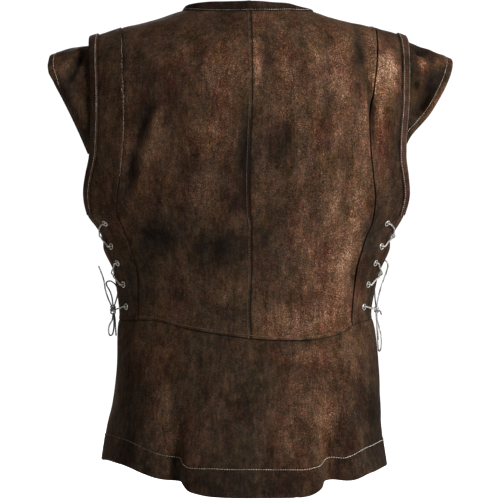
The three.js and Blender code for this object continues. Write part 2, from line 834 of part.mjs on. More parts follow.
// The whole lacing of one side, from the knot up to the armhole and back down to the knot,
// crossing inside and outside by turns.
function lacingRoute(side) {
  const back = EYELET_ROWS.map(({ z }) => ({ half: BACK, z }));
  const front = EYELET_ROWS.map(({ z }) => ({ half: FRONT, z }));
  const top = EYELET_ROWS.length - 1;
  const climb = (near, far, bow) => {
    const route = [];
    for (let row = 0; row < top; row++) {
      const inside = row % 2 === 0;
      const from = inside ? near[row] : far[row];
      const to = inside ? far[row + 1] : near[row + 1];
      const through = throughEyelet(side, from);
      const strand = inside ? insideStrand : outsideStrand;
      route.push(...(inside ? through : through.reverse()));
      route.push(...strand(side, from, to, bow));
    }
    return route;
  };
  return [
    ...leadOut(side, back[0]).reverse(),
    ...climb(back, front, CROSSING),
    ...throughEyelet(side, back[top]),
    ...insideStrand(side, back[top], front[top], 0),
    ...throughEyelet(side, front[top]).reverse(),
    ...climb(front, back, 0).reverse(),
    ...leadOut(side, front[0]),
  ];
}

// A round cord along a route, with one section at each point of it.
function cord(points) {
  const line = new THREE.CatmullRomCurve3(points, false, "centripetal");
  line.getUtoTmapping = (share) => share;
  return new THREE.ExtrudeGeometry(new THREE.Shape().absarc(0, 0, LACE / 2, 0, 2 * Math.PI), {
    extrudePath: line,
    steps: points.length - 1,
    curveSegments: 4,
    bevelEnabled: false,
  });
}

// A loop or a free end of a bow.
function bowCord(bow, part, route) {
  const line = route.map(vector);
  line[0] = onKnot(bow, route[0]);
  if (part.startsWith("loop")) line[line.length - 1] = onKnot(bow, route.at(-1));
  return cord(line);
}

function knot({ centre, radii }) {
  return new THREE.SphereGeometry(1, 12, 8).scale(...radii).translate(...centre);
}

// ---------------------------------------------------------------- solids

function solidOf(geometry) {
  const bare = geometry.clone();
  bare.deleteAttribute("normal");
  bare.deleteAttribute("uv");
  const merged = mergeVertices(bare, 1e-4);
  const vertProperties = merged.attributes.position.array;
  const triVerts = new Uint32Array(merged.index.array);
  return new wasm.Manifold(new wasm.Mesh({ numProp: 3, vertProperties, triVerts }));
}

function geometryOf(solid) {
  const { vertProperties, triVerts } = solid.getMesh();
  const geometry = new THREE.BufferGeometry();
  geometry.setAttribute("position", new THREE.BufferAttribute(vertProperties, 3));
  return geometry.setIndex(new THREE.BufferAttribute(triVerts, 1));
}

// ---------------------------------------------------------------- the jerkin

const MATERIALS = {
  suede: new THREE.MeshStandardMaterial({ color: 0x4a3226, roughness: 0.95, metalness: 0 }),
  binding: new THREE.MeshStandardMaterial({ color: 0x3a281f, roughness: 0.9, metalness: 0 }),
  nickel: new THREE.MeshStandardMaterial({ color: 0xa79d90, roughness: 0.4, metalness: 1 }),
  cord: new THREE.MeshStandardMaterial({ color: 0x9b948a, roughness: 0.7, metalness: 0 }),
};

const jerkin = new THREE.Group();

function add(name, geometry, material) {
  const mesh = new THREE.Mesh(geometry, MATERIALS[material]);
  mesh.name = name;
  jerkin.add(mesh);
}

add("front", frontPanel(), "suede");
add("skirt_back", skirt(BACK), "suede");
add("skirt_front", skirt(FRONT), "suede");
add("neckband", neckband(), "binding");

for (const side of [-1, 1]) {
  const name = sideName(side);
  add(`back_${name}`, backPanel(side), "suede");
  add(`side_${name}`, sidePanel(side), "suede");
  add(`armhole_band_${name}`, armholeBand(side), "binding");
  add(`cap_${name}`, capSleeve(side), "suede");
  for (const half of [BACK, FRONT])
    EYELET_ROWS.forEach(({ z }, i) =>
      add(`eyelet_${name}_${half.name}_${i + 1}`, eyelet(half, side, z), "nickel"),
    );
  add(`lace_${name}`, cord(lacingRoute(side)), "cord");
  add(`knot_${name}`, knot(KNOTS[name]), "cord");
  for (const [part, route] of Object.entries(BOWS[name]))
    add(`bow_${name}_${part}`, bowCord(KNOTS[name], part, route), "cord");
}

export default jerkin;
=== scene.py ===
"""A leather jerkin, seen from behind, as it is worn with nobody in it. Sizes are in
millimetres, as on a maker's pattern, and become metres where a mesh is made."""

import math

import bmesh
import bpy
import numpy as np
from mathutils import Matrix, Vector


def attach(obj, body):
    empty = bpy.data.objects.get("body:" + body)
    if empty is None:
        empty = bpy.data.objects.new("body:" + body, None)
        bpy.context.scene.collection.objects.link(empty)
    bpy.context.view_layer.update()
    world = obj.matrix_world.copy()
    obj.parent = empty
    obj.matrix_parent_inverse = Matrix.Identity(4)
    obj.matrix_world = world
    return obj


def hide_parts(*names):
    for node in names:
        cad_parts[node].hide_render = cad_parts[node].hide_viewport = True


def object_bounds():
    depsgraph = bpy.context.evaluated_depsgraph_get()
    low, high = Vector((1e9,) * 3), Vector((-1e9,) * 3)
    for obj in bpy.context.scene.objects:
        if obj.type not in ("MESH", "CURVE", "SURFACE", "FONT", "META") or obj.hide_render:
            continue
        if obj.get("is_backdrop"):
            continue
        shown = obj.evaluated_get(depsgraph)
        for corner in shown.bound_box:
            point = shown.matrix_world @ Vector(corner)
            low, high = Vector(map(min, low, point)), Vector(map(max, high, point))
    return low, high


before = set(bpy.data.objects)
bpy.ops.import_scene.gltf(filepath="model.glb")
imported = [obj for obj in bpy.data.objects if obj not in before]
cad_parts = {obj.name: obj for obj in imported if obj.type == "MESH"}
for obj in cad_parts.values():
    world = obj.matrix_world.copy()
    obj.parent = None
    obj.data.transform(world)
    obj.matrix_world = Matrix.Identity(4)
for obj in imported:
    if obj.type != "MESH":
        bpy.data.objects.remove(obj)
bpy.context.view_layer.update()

# ------------------------------------------------------------------ camera
# A long lens, level with the middle of the jerkin and square to its back, as for a catalogue.
# It takes in the jerkin from neck to hem with hardly any margin.


def placed(name, data):
    """A new object in the scene."""
    thing = bpy.data.objects.new(name, data)
    bpy.context.scene.collection.objects.link(thing)
    return thing


camera = placed("camera", bpy.data.cameras.new("camera"))
camera.data.sensor_width, camera.data.lens = 36, 112
camera.location = (0.0035, -2.2, -0.336)
camera.rotation_euler = (math.pi / 2, 0, 0)
bpy.context.scene.camera = camera

# ------------------------------------------------------------------ the worn form
# The form that every panel is cut to: an oval trunk, narrow at the waist, that turns over into
# sloping shoulders. A place on it is given by its half, its turn round the body from the middle
# of that half, and its climb: the height over the yoke line, or the share of the way over it.

YOKE_Z = -130
TWIST = 7  # the back's middle hangs this far to the wearer's right
NECK_HALF = 97
NECK_DROP = {"back": 9, "front": 95}
SHOULDER_SEAM = 178  # from the middle to where the side panel meets the shoulder
SIGN = {"back": -1, "front": 1}
SIDE = math.pi / 2
SIDE_NAME = {-1: "left", 1: "right"}
TRUNK = (0, 0, -330)  # the middle of the trunk, which its leather faces away from


def table(columns, *rows):
    """A short table, as its named columns."""
    return dict(zip(columns.split(), np.array(rows, float).T))


SECTIONS = table(
    "z width back front square middle",
    (-680, 207, 150, 140, 2.15, -5),
    (-640, 202, 144, 135, 2.15, -5),
    (-585, 194, 134, 129, 2.1, -5),
    (-551, 189, 127, 125, 2.1, -2),
    (-500, 185, 117, 121, 2.0, 0),
    (-450, 182, 109, 118, 1.9, -2),
    (-425, 179, 107, 118, 1.8, -3),
    (-385, 185, 108, 120, 1.75, -2),
    (-364, 190, 110, 121, 1.75, -1),
    (-336, 203, 114, 123, 1.75, -1),
    (-318, 205, 117, 124, 1.75, -1),
    (-303, 215, 119, 125, 1.8, -1),
    (-288, 228, 121, 126, 1.85, -3),
    (-262, 243, 125, 127, 1.95, -4),
    (-235, 246, 128, 127, 2.0, -4),
    (-200, 245, 129, 125, 2.1, -3),
    (-130, 247, 124, 116, 2.2, 0),
)
SHOULDER = table(
    "x z",
    (0, 28), (60, 12), (97, -1), (116, -7.5), (140, -14.5),
    (182, -24.5), (212, -32), (230, -38), (255, -50),
)
PANEL_SEAM = table(
    "z left right",
    (-455, 151, 142), (-403, 154, 145), (-363, 157, 149), (-322, 168, 160),
    (-289, 180, 171), (-265, 180, 173), (-238, 176, 170), (-188, 171, 164),
    (-141, 173, 164), (-76, 177, 172), (-26, 178, 178),
)
OPEN_EDGE = table(
    "z left right",
    (-460, 85, 80), (-309, 84.5, 80), (-299, 82, 78), (-290, 78, 75.5),
    (-278, 73, 72), (-262, 68.5, 68.5), (-235, 65, 65), (-206, 62, 62),
    (-130, 61, 61), (-80, 62, 62), (-36, 63.5, 63.5),
)


def eased(t, start, end, leave, arrive):
    """The smooth way from start to end as t goes from 0 to 1, with the slopes at its ends."""
    there = start * (1 + 2 * t) * (1 - t) ** 2 + leave * t * (1 - t) ** 2
    return there + end * t * t * (3 - 2 * t) + arrive * t * t * (t - 1)


def read(rows, key, column, at):
    """A smooth curve through a table's rows: the value of one column where key is at."""
    keys, values = rows[key], rows[column]
    slopes = np.empty_like(values)
    slopes[1:-1] = (values[2:] - values[:-2]) / (keys[2:] - keys[:-2])
    slopes[[0, -1]] = (values[[1, -1]] - values[[0, -2]]) / (keys[[1, -1]] - keys[[0, -2]])
    at = np.clip(at, keys[0], keys[-1])
    i = np.clip(np.searchsorted(keys, at, side="right") - 1, 0, len(keys) - 2)
    span = keys[i + 1] - keys[i]
    t = (at - keys[i]) / span
    return eased(t, values[i], values[i + 1], slopes[i] * span, slopes[i + 1] * span)


def section(column, z):
    """One size of the body's level section. Over the yoke line it stays the same."""
    return read(SECTIONS, "z", column, np.minimum(z, YOKE_Z))


def ridge(x):
    return read(SHOULDER, "x", "z", np.abs(x))


def across(turn, z):
    """How far from the middle a turn lies, at a height."""
    bend = 2 / section("square", z)
    return np.sign(turn) * section("width", z) * np.abs(np.sin(turn)) ** bend


def turn_at(x, z):
    """The turn that lies so far from the middle."""
    share = np.minimum(1, np.abs(x) / section("width", z))
    return np.sign(x) * np.arcsin(share ** (section("square", z) / 2))


def height(climb, x):
    over = (ridge(x) - YOKE_Z) * np.sin(np.maximum(climb, 0) * SIDE)
    return YOKE_Z + np.minimum(climb, 0) + over


def body(half, turn, climb):
    """Points on the form, in millimetres."""
    z = YOKE_Z + np.minimum(climb, 0)
    x = across(turn, z)
    lean = np.cos(np.maximum(climb, 0) * SIDE)
    deep = np.maximum(0, np.cos(turn)) ** (2 / section("square", z)) * lean
    shift = section("middle", z) - SIGN[half] * TWIST * deep
    y = SIGN[half] * section(half, z) * deep
    return np.stack(np.broadcast_arrays(x + shift, y, height(climb, x)), -1)


def edge_turn(half, side, z):
    """The open edge of a side: laced below the armhole, and the armhole above."""
    return np.radians(read(OPEN_EDGE, "z", SIDE_NAME[-SIGN[half] * side], z))


def seam_turn(side, z):
    return turn_at(read(PANEL_SEAM, "z", SIDE_NAME[side], z), z)


def climb_at(z):
    """The climb of a height at the shoulder seam."""
    share = np.clip((z - YOKE_Z) / (ridge(SHOULDER_SEAM) - YOKE_Z), 0, 1)
    return np.where(z <= YOKE_Z, z - YOKE_Z, np.arcsin(share) / SIDE)


def unit(v):
    return v / np.maximum(np.linalg.norm(v, axis=-1, keepdims=True), 1e-9)


def facing(points, centre=TRUNK):
    """Normals of a grid of points, pointing away from a centre."""
    rise, run = np.gradient(points, axis=0), np.gradient(points, axis=1)
    normals = unit(np.cross(run, rise))
    return normals * np.sign(((points - centre) * normals).sum(-1).mean())


# ------------------------------------------------------------------ laces and bows
# A round cord of twisted and waxed cotton, 2.2 mm thick, is laced through the eyelets down each
# side. Its two ends are tied in a bow at the waist, with two loops and two free ends in the air.

# each eyelet's height, and how far in it stands from the open edge
EYELETS = table("z inset", (-415, 28), (-384, 28), (-354, 28), (-331, 29), (-299, 36))
LACE = 2.2
GAP_WIDTH = 22  # of the laced opening
THROUGH = (
    # the way in at an eyelet: how far towards the edge from its middle, and how far out
    (4.4, 2.9), (2.2, 2.6), (1.3, 0.4), (1.0, -3.2), (1.6, -5.2), (5.2, -5.9),
)
STRAND_OUT = LACE / 2 + 0.5  # from the leather to the middle of a strand that lies on it
CROSSING = LACE + 0.8  # how far apart two strands cross
BAND_WIDTH = 14  # of the strip that edges each armhole
HOLE = 6.6  # punched for the eyelet's barrel
NEAR_EDGE = np.arange(0, 0.6, 0.001)  # turns in from an open edge, among which a place is found
KNOTS = {
    # its middle, and half its size each way
    -1: ((-189.5, -8, -420), (3.2, 4.6, 6)),
    1: ((181.8, -9, -419.5), (2.6, 3.8, 4.4)),
}
KNOT_SPREAD = np.array([1.4, 1.1, 1.15])  # a loose knot stands out from its core
SHORTEST_CORD = 0.03  # metres; a shorter end belongs to the knot
BOWS = {
    # (x, y, z) from the knot outwards, and for a loop back to the knot
    -1: {
        "loop_up": [
            (-189.8, -6.4, -412.4), (-191.2, -7.4, -402.5), (-194.4, -9, -392.6),
            (-198.2, -10, -386), (-198.6, -9.4, -381.6), (-194.5, -6, -379.6),
            (-189.2, -1, -382.4), (-185, 1.6, -388), (-183.6, 2.4, -396),
            (-185.6, 0, -406), (-187.4, -2.6, -412.2),
        ],
        "loop_down": [
            (-189.2, -10.6, -427.8), (-190.4, -12.2, -434.5), (-193.8, -14, -441),
            (-195.2, -15, -449), (-193.4, -14, -456), (-190.2, -12, -454.8),
            (-188.6, -9.6, -448.5), (-188.2, -7.4, -441), (-188.4, -5.8, -434),
            (-188.8, -5.4, -428),
        ],
        "end_up": [
            (-192.2, -10, -413.2), (-196.4, -12.4, -403), (-199.8, -14.4, -391.5),
            (-201.4, -15.6, -380), (-204.6, -16.4, -369.5), (-208.6, -17, -359.3),
        ],
        "end_down": [(-187, -2, -427.4), (-187.6, 3, -435), (-187.4, 8, -446), (-187, 12, -457)],
    },
    1: {
        "loop_up": [
            (182.4, -8.6, -413.4), (184, -8.8, -404), (188, -8.6, -388.3),
            (195.8, -7.6, -367), (198, -6.4, -357.4), (196, -4.4, -351.8),
            (191.8, -1.6, -350.8), (186.4, 0.6, -354.4), (181, 1, -361),
            (179.2, 1, -372), (179.4, 0, -388), (180, -2.4, -402), (180.6, -5, -412.6),
        ],
        "loop_down": [
            (182, -8.2, -425), (182.4, -8.4, -432), (184.8, -8.6, -442),
            (188, -8.4, -456), (188.8, -7, -469), (187.6, -3.4, -477.5),
            (185.8, 2, -478.6), (185, 7, -470), (184.4, 9, -456),
            (183.6, 8, -442), (182.6, 3, -432), (182, -2.6, -425.4),
        ],
        "end_up": [(184.8, -10.4, -420.8), (187, -11.6, -422.4), (188, -13.2, -426.4)],
        "end_down": [
            (180.6, -11.8, -424.6), (181.2, -13, -432), (182, -14, -441),
            (183, -14.8, -451), (183.8, -15.4, -461),
        ],
    },
}


def linear(hex_colour):
    """A colour for a node, from its sRGB hex value."""
    parts = [int(hex_colour[i : i + 2], 16) / 255 for i in (1, 3, 5)]
    return [c / 12.92 if c <= 0.04045 else ((c + 0.055) / 1.055) ** 2.4 for c in parts] + [1]


def add(tree, kind, inputs=None, **settings):
    """Adds a node with its settings, and with a value or a link for each input."""
    node = tree.nodes.new(kind)
    for name, value in settings.items():
        setattr(node, name, value)
    for socket, value in (inputs or {}).items():
        if isinstance(value, bpy.types.NodeSocket):
            tree.links.new(value, node.inputs[socket])
        else:
            node.inputs[socket].default_value = value
    return node


def first(tree, kind, inputs=None, **settings):
    """Adds a node, and gives its first output."""
    return add(tree, kind, inputs, **settings).outputs[0]


def noise(tree, place, scale, detail, rough=0.5):
    inputs = {"Vector": place, "Scale": scale, "Detail": detail, "Roughness": rough}
    return first(tree, "ShaderNodeTexNoise", inputs)


def ranged(tree, value, low, high, to_low=0.0, to_high=1.0):
    """A value brought from one range to another, and held within it."""
    inputs = {"Value": value, "From Min": low, "From Max": high}
    inputs |= {"To Min": to_low, "To Max": to_high}
    return first(tree, "ShaderNodeMapRange", inputs)


def toned(tree, value, tones):
    """The colour for a value, by (value, colour) tones in rising order."""
    ramp = add(tree, "ShaderNodeValToRGB", {"Fac": value})
    stops = ramp.color_ramp.elements
    for _ in tones[2:]:
        stops.new(0.5)
    for stop, (at, colour) in zip(stops, tones):
        stop.position, stop.color = at, linear(colour)
    return ramp.outputs["Color"]


def blank_material(name):
    """A material, its tree, its surface, and the place on the piece that patterns follow."""
    material = bpy.data.materials.new(name)
    material.use_nodes = True
    tree = material.node_tree
    tree.nodes.clear()
    surface = add(tree, "ShaderNodeBsdfPrincipled")
    add(tree, "ShaderNodeOutputMaterial", {"Surface": surface.outputs["BSDF"]})
    return material, tree, surface, add(tree, "ShaderNodeTexCoord").outputs["Object"]


def look(tree, surface, **values):
    """Sets a surface's values, or links to them; the words of a name are joined by underscores."""
    for name, value in values.items():
        socket = surface.inputs[name.replace("_", " ")]
        if isinstance(value, bpy.types.NodeSocket):
            tree.links.new(value, socket)
        else:
            socket.default_value = value


def waxed_cord(name, tones):
    """Twisted cotton, waxed: its plies are slanting ridges, one to each 0.6 mm of its length,
    darker between them, and the wax is scuffed pale in patches about 8 mm long."""
    material, tree, surface, place = blank_material(name)
    uv = add(tree, "ShaderNodeUVMap", uv_map="cord").outputs["UV"]
    plies = add(
        tree, "ShaderNodeTexWave", {"Vector": uv, "Scale": 1.0, "Distortion": 0.6, "Detail": 1.0},
        bands_direction="DIAGONAL",
    ).outputs["Fac"]
    # here the value is only the wax scuffed pale in patches; no shade is painted on it
    wear_and_shade = noise(tree, place, 130, 3)
    tone = first(tree, "ShaderNodeMath", {0: plies, 1: 0.35, 2: wear_and_shade}, operation="MULTIPLY_ADD")
    bump = first(tree, "ShaderNodeBump", {"Height": plies, "Distance": 0.0003, "Strength": 0.8})
    look(tree, surface, Base_Color=toned(tree, tone, tones), Normal=bump, Roughness=0.55)
    return material


CORD = waxed_cord("waxed_cotton_cord", ((0.25, "#5d5750"), (0.62, "#aaa397"), (1.0, "#ffffff")))
# Painted shade: the bows' cords are darker copies of the lace's cord for the shade they hang in,
# the left bow's darkest, and the knots on both sides use that darkest one.
BOW_CORD = {
    -1: waxed_cord("shaded_dark_cotton_cord", ((0.25, "#100e0c"), (0.62, "#413c36"), (1.0, "#ffffff"))),
    1: waxed_cord("shaded_grey_cotton_cord", ((0.25, "#37322d"), (0.62, "#7b756c"), (1.0, "#ffffff"))),
}
KNOT_CORD = BOW_CORD[-1]


def mesh_object(name, points, faces, material):
    """A smooth mesh from points in millimetres."""
    mesh = bpy.data.meshes.new(name)
    mesh.from_pydata((np.asarray(points) / 1000).tolist(), [], faces)
    mesh.polygons.foreach_set("use_smooth", [True] * len(mesh.polygons))
    mesh.materials.append(material)
    return placed(name, mesh)


def settled(piece, nodes=()):
    """Fixes a finished piece to the part, in the place of its CAD nodes."""
    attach(piece, "root")
    if nodes:
        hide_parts(*nodes)
    return piece


def run_of(points, axis=0):
    """The distance along a line of points, or along each line of a grid."""
    steps = np.linalg.norm(np.diff(points, axis=axis), axis=-1)
    start = np.zeros_like(steps.take([0], axis))
    return np.concatenate([start, np.cumsum(steps, axis=axis)], axis=axis)


def smooth_line(points, step):
    """A smooth line through the given points, as points about step apart."""
    points = np.array(points, float)
    knots = np.r_[0, np.cumsum(np.linalg.norm(np.diff(points, axis=0), axis=1) ** 0.5)]
    slopes = np.gradient(points, knots, axis=0)
    line = []
    for a, b, leave, arrive, span in zip(points, points[1:], slopes, slopes[1:], np.diff(knots)):
        count = max(1, round(np.linalg.norm(b - a) / step))
        t = (np.arange(count) / count)[:, None]
        line.append(eased(t, a, b, leave * span, arrive * span))
    return np.concatenate([*line, points[-1:]])


def quads(index):
    """The faces between a grid's rows and columns, from the numbers of its points."""
    corners = index[:-1, :-1], index[:-1, 1:], index[1:, 1:], index[1:, :-1]
    return np.stack(corners, axis=-1).reshape(-1, 4)


def tube(name, line, diameter, material, nodes=(), sides=10):
    """A round cord along a line, closed and rounded at both ends, with its UVs in millimetres."""
    along = unit(np.gradient(line, axis=0))
    out = unit(np.cross(along[0], (0.3, 0.2, 0.9)))
    angles = np.arange(sides)[:, None] * 2 * math.pi / sides
    rings = []
    for way in along:
        out = unit(out - way * np.dot(out, way))
        rings.append((np.cos(angles) * out + np.sin(angles) * np.cross(way, out)) * diameter / 2)

    def drawn_in(end, beyond, share):
        return line[end] + along[end] * beyond * diameter + rings[end] * share

    rows = [drawn_in(0, -0.45, 0.55), drawn_in(0, -0.25, 0.85)]
    rows += [point + ring for point, ring in zip(line, rings)]
    rows += [drawn_in(-1, 0.25, 0.85), drawn_in(-1, 0.45, 0.55)]
    reach = run_of(line)
    reach = np.r_[0, 0, reach, reach[-1], reach[-1]]
    row, column = np.indices((len(rows), sides + 1))
    index = row * sides + column % sides
    start, end = index[0, -2::-1], index[-1, :-1]
    faces = [*quads(index).tolist(), start.tolist(), end.tolist()]
    piece = mesh_object(name, np.concatenate(rows), faces, material)
    around = np.r_[quads(column).ravel(), start % sides, end % sides] * math.pi * diameter / sides
    length = reach[np.r_[quads(row).ravel(), start // sides, end // sides]]
    uv = piece.data.uv_layers.new(name="cord")
    uv.data.foreach_set("uv", np.stack([around, length], axis=1).ravel())
    return settled(piece, nodes)


def near_edge(half, side, z, inset, out=0.0):
    """A point near an open edge: inset in from the edge over the panel, and out from its face.
    With out None it gives the point on the face and the normal there."""
    climb = climb_at(float(z))
    turns = edge_turn(half, side, z) - NEAR_EDGE
    points = body(half, side * turns, climb)
    turn = np.interp(inset, np.linalg.norm(points - points[0], axis=1), turns)
    steps = body(half, side * (turn + np.array([0, 0.002, 0])), climb + np.array([0, 0, 0.5]))
    normal = unit(np.cross(steps[1] - steps[0], steps[2] - steps[0]))
    normal = normal * np.sign(np.dot(normal, (side, SIGN[half] * 0.3, 0)))
    return (steps[0], normal) if out is None else steps[0] + normal * out


def eyelet_places(half, side):
    rows = zip(EYELETS["z"], EYELETS["inset"])
    return [near_edge(half, side, z, inset, None) for z, inset in rows]


def through(side, half, row):
    """The lace's way from outside to inside through an eyelet."""
    z, inset = EYELETS["z"][row], EYELETS["inset"][row]
    return [near_edge(half, side, z, inset - along, out) for along, out in THROUGH]


def over_edge(side, half, z, edge_z):
    """A strand's places on the leather, from near an eyelet to the open edge."""
    return [
        near_edge(half, side, (z + edge_z) / 2, BAND_WIDTH, STRAND_OUT),
        near_edge(half, side, edge_z, 0, STRAND_OUT),
    ]


def outside_strand(side, start, end, bow):
    """The lace over the gap, from one eyelet's (half, row) to another's."""
    (half_a, a), (half_b, b) = start, end
    z, inset = EYELETS["z"], EYELETS["inset"]
    length = inset[a] + GAP_WIDTH + inset[b]
    there = over_edge(side, half_a, z[a], z[a] + (z[b] - z[a]) * inset[a] / length)
    back = over_edge(side, half_b, z[b], z[b] + (z[a] - z[b]) * inset[b] / length)[::-1]
    middle = (there[1] + back[0]) / 2 + (side * bow, 0, 0)
    return [*there, middle, *back]


def inside_strand(side, start, end, bow):
    """The lace under the gap."""
    middle = (through(side, *start)[-1] + through(side, *end)[-1]) / 2
    return [middle - (side * bow, 0, 0)]


def on_knot(side, towards):
    """The place on the knot's surface that lies towards a point."""
    centre, radii = (np.array(v, float) for v in KNOTS[side])
    way = np.array(towards, float) - centre
    return centre + way / np.linalg.norm(way / radii)


def lead_out(side, half):
    """The lace from the lowest eyelet to the knot."""
    z = EYELETS["z"][0]
    edge_z = z + (KNOTS[side][0][2] - z) * 0.7
    on_leather, edge = over_edge(side, half, z, edge_z)
    return [on_leather, edge, on_knot(side, edge)]


def lacing_route(side):
    """From the knot up one half, over to the other at the armhole, and back to the knot."""
    top = len(EYELETS["z"]) - 1

    def climb(near, far, bow):
        route = []
        for row in range(top):
            inside = row % 2 == 0
            start = (near if inside else far, row)
            end = (far if inside else near, row + 1)
            way = through(side, *start)
            route += way if inside else way[::-1]
            route += (inside_strand if inside else outside_strand)(side, start, end, bow)
        return route

    return [
        *lead_out(side, "back")[::-1],
        *climb("back", "front", CROSSING),
        *through(side, "back", top),
        *inside_strand(side, ("back", top), ("front", top), 0),
        *through(side, "front", top)[::-1],
        *climb("front", "back", 0)[::-1],
        *lead_out(side, "front"),
    ]


def knot(side):
    """A trefoil of cord, drawn together to the size of the knot."""
    centre, radii = (np.array(v, float) for v in KNOTS[side])
    t = np.linspace(0, 2 * math.pi, 90)
    wound = np.sin(3 * t), (np.sin(t) + 2 * np.sin(2 * t)) / 3, (np.cos(t) - 2 * np.cos(2 * t)) / 3
    return centre + np.stack(wound, axis=1) * np.maximum(radii * KNOT_SPREAD - LACE / 2, 1)


for side, name in SIDE_NAME.items():
    laced = smooth_line(lacing_route(side), 1.2)
    tube(f"lace_{name}_cord", laced, LACE, CORD, [f"lace_{name}"])
    knotted = [tube(f"knot_{name}_cord", knot(side), LACE, KNOT_CORD, [f"knot_{name}"])]
    for part, points in BOWS[side].items():
        points = [on_knot(side, points[0]), *points[1:]]
        if part.startswith("loop"):
            points[-1] = on_knot(side, points[-1])
        line = smooth_line(points, 1.5)
        node = f"bow_{name}_{part}"
        piece = tube(f"{node}_cord", line, LACE, BOW_CORD[side], [node])
        length = run_of(line)[-1] / 1000
        if length < SHORTEST_CORD:
            knotted.append(piece)
            continue


# ------------------------------------------------------------------ suede
# Cowhide split, dyed dark brown and brushed on the flesh side, then rubbed and stained to look
# old: a sandy, napped face that is ochre and red where it is worn, and nearly black where not.
# The same tones also carry painted shade in folds and seams, and painted highlights.


def suede(name, tones, tints, nap=1.0):
    """Napped split leather, with no gloss. Its fibres stand about 1 mm high in clumps 2 mm
    across, drawn at their real size, which gives the eye a sandy grain. Coarser patterns lie over
    it: clouds 95 mm across and blotches of 24 and 9 mm, brush strokes 3 mm wide and 26 mm long,
    and three tints in spots 30 to 46 mm across, weaker where the wear attribute is high. The
    attributes it reads hold real rubbing and stains, and also painted shade in folds and seams,
    and painted highlights on lapped edges."""
    material, tree, surface, place = blank_material(name)
    worn_and_shaded = add(tree, "ShaderNodeAttribute", attribute_name="wear_and_shade").outputs["Fac"]
    seam = add(tree, "ShaderNodeAttribute", attribute_name="seam").outputs["Fac"]

    def moved(location, scale):
        inputs = {"Vector": place, "Location": location, "Scale": scale}
        return first(tree, "ShaderNodeMapping", inputs)

    def spots(size_mm, detail, rough, shift=0.0, tall=1.0):
        there = moved((shift, 0.31, shift), (1, 1, 1 / tall))
        return noise(tree, there, 1000 / size_mm, detail, rough)

    def sum_of(*terms):
        """base + factor * (value - middle) for each (value, factor, middle)."""
        total = terms[0]
        for value, factor, middle in terms[1:]:
            off = first(tree, "ShaderNodeMath", {0: value, 1: middle}, operation="SUBTRACT")
            parts = {0: off, 1: factor, 2: total}
            total = first(tree, "ShaderNodeMath", parts, operation="MULTIPLY_ADD")
        return total

    clumps, grit = spots(1.9, 2.0, 0.8), spots(1.0, 1.0, 0.6, 4.0)
    strokes = noise(tree, moved((0, 0, 0), (300, 300, 38)), 1, 3)
    specks = ranged(tree, spots(1.6, 2.0, 0.9, 9.0), 0.66, 0.76)
    grain = ranged(tree, worn_and_shaded, 0.2, 0.5, 0.34 * nap, 1.25 * nap)
    tone = sum_of(
        worn_and_shaded,
        (spots(95, 3.0, 0.6, tall=1.5), 0.4, 0.5), (spots(24, 4.0, 0.7, 2.0, 2.2), 0.48, 0.5),
        (spots(9, 3.0, 0.7, 6.0), 0.42, 0.5), (strokes, 0.35, 0.5),
        (clumps, grain, 0.5), (grit, grain, 0.5), (seam, 0.35, 0.0), (specks, 0.5 * nap, 0.0),
    )
    colour = toned(tree, tone, tones)
    dyed = ranged(tree, worn_and_shaded, 0.46, 0.72, 1.0, 0.3)
    for tint, size, shift in zip(tints, (46, 30, 38), (7.0, 11.0, 15.0)):
        where = ranged(tree, spots(size, 5.0, 0.8, shift, 1.6), 0.46, 0.66, 0.0, 0.64)
        where = first(tree, "ShaderNodeMath", {0: where, 1: dyed}, operation="MULTIPLY")
        colour = add(
            tree, "ShaderNodeMix", {"Factor": where, "A": colour, "B": linear(tint)},
            data_type="RGBA", blend_type="SOFT_LIGHT",
        ).outputs["Result"]
    fibres = first(tree, "ShaderNodeBump", {"Height": clumps, "Distance": 0.0009, "Strength": 0.7})
    creases = {"Height": spots(13, 4.0, 0.6, 5.0), "Distance": 0.0016, "Strength": 0.6}
    creased = first(tree, "ShaderNodeBump", {**creases, "Normal": fibres})
    look(
        tree, surface, Base_Color=colour, Normal=creased, Roughness=0.92,
        Specular_IOR_Level=0.1, Sheen_Weight=0.06, Sheen_Roughness=0.5,
        Sheen_Tint=linear("#b08a60"),
    )
    return material


HIDE = suede(
    "brown_split_suede",
    (
        (0.0, "#140e0a"), (0.22, "#2e241b"), (0.45, "#4f3a2a"), (0.66, "#73523e"),
        (0.84, "#9a755d"), (1.0, "#cab09c"),
    ),
    ("#86503c", "#767830", "#74505e"),
)
BINDING = suede(
    "dyed_hide_binding",
    ((0.0, "#120d0a"), (0.25, "#2a1f18"), (0.5, "#49342a"), (0.75, "#6a4b39"), (1.0, "#9a7861")),
    ("#84443a", "#6c6a38", "#6e5058"), 0.8,
)


def plain_mesh(piece):
    """Makes a piece's modifiers its own mesh."""
    graph = bpy.context.evaluated_depsgraph_get()
    mesh = bpy.data.meshes.new_from_object(
        piece.evaluated_get(graph), preserve_all_data_layers=True, depsgraph=graph
    )
    piece.modifiers.clear()
    piece.data = mesh


PUNCH_DEPTH = 0.014  # metres: well through the leather, and short of the other half


def punch(piece, places, radius):
    """Cuts round holes through a piece, at (point, normal) places."""
    cutter = bmesh.new()
    for point, normal in places:
        turn = Vector(normal).to_track_quat("Z", "Y").to_matrix().to_4x4()
        turn.translation = Vector(point) / 1000
        bmesh.ops.create_cone(
            cutter, cap_ends=True, segments=20, radius1=radius / 1000, radius2=radius / 1000,
            depth=PUNCH_DEPTH, matrix=turn,
        )
    mesh = bpy.data.meshes.new("punch")
    cutter.to_mesh(mesh)
    tool = placed("punch", mesh)
    cut = piece.modifiers.new("holes", "BOOLEAN")
    cut.operation, cut.solver, cut.object = "DIFFERENCE", "EXACT", tool
    plain_mesh(piece)
    bpy.data.objects.remove(tool)


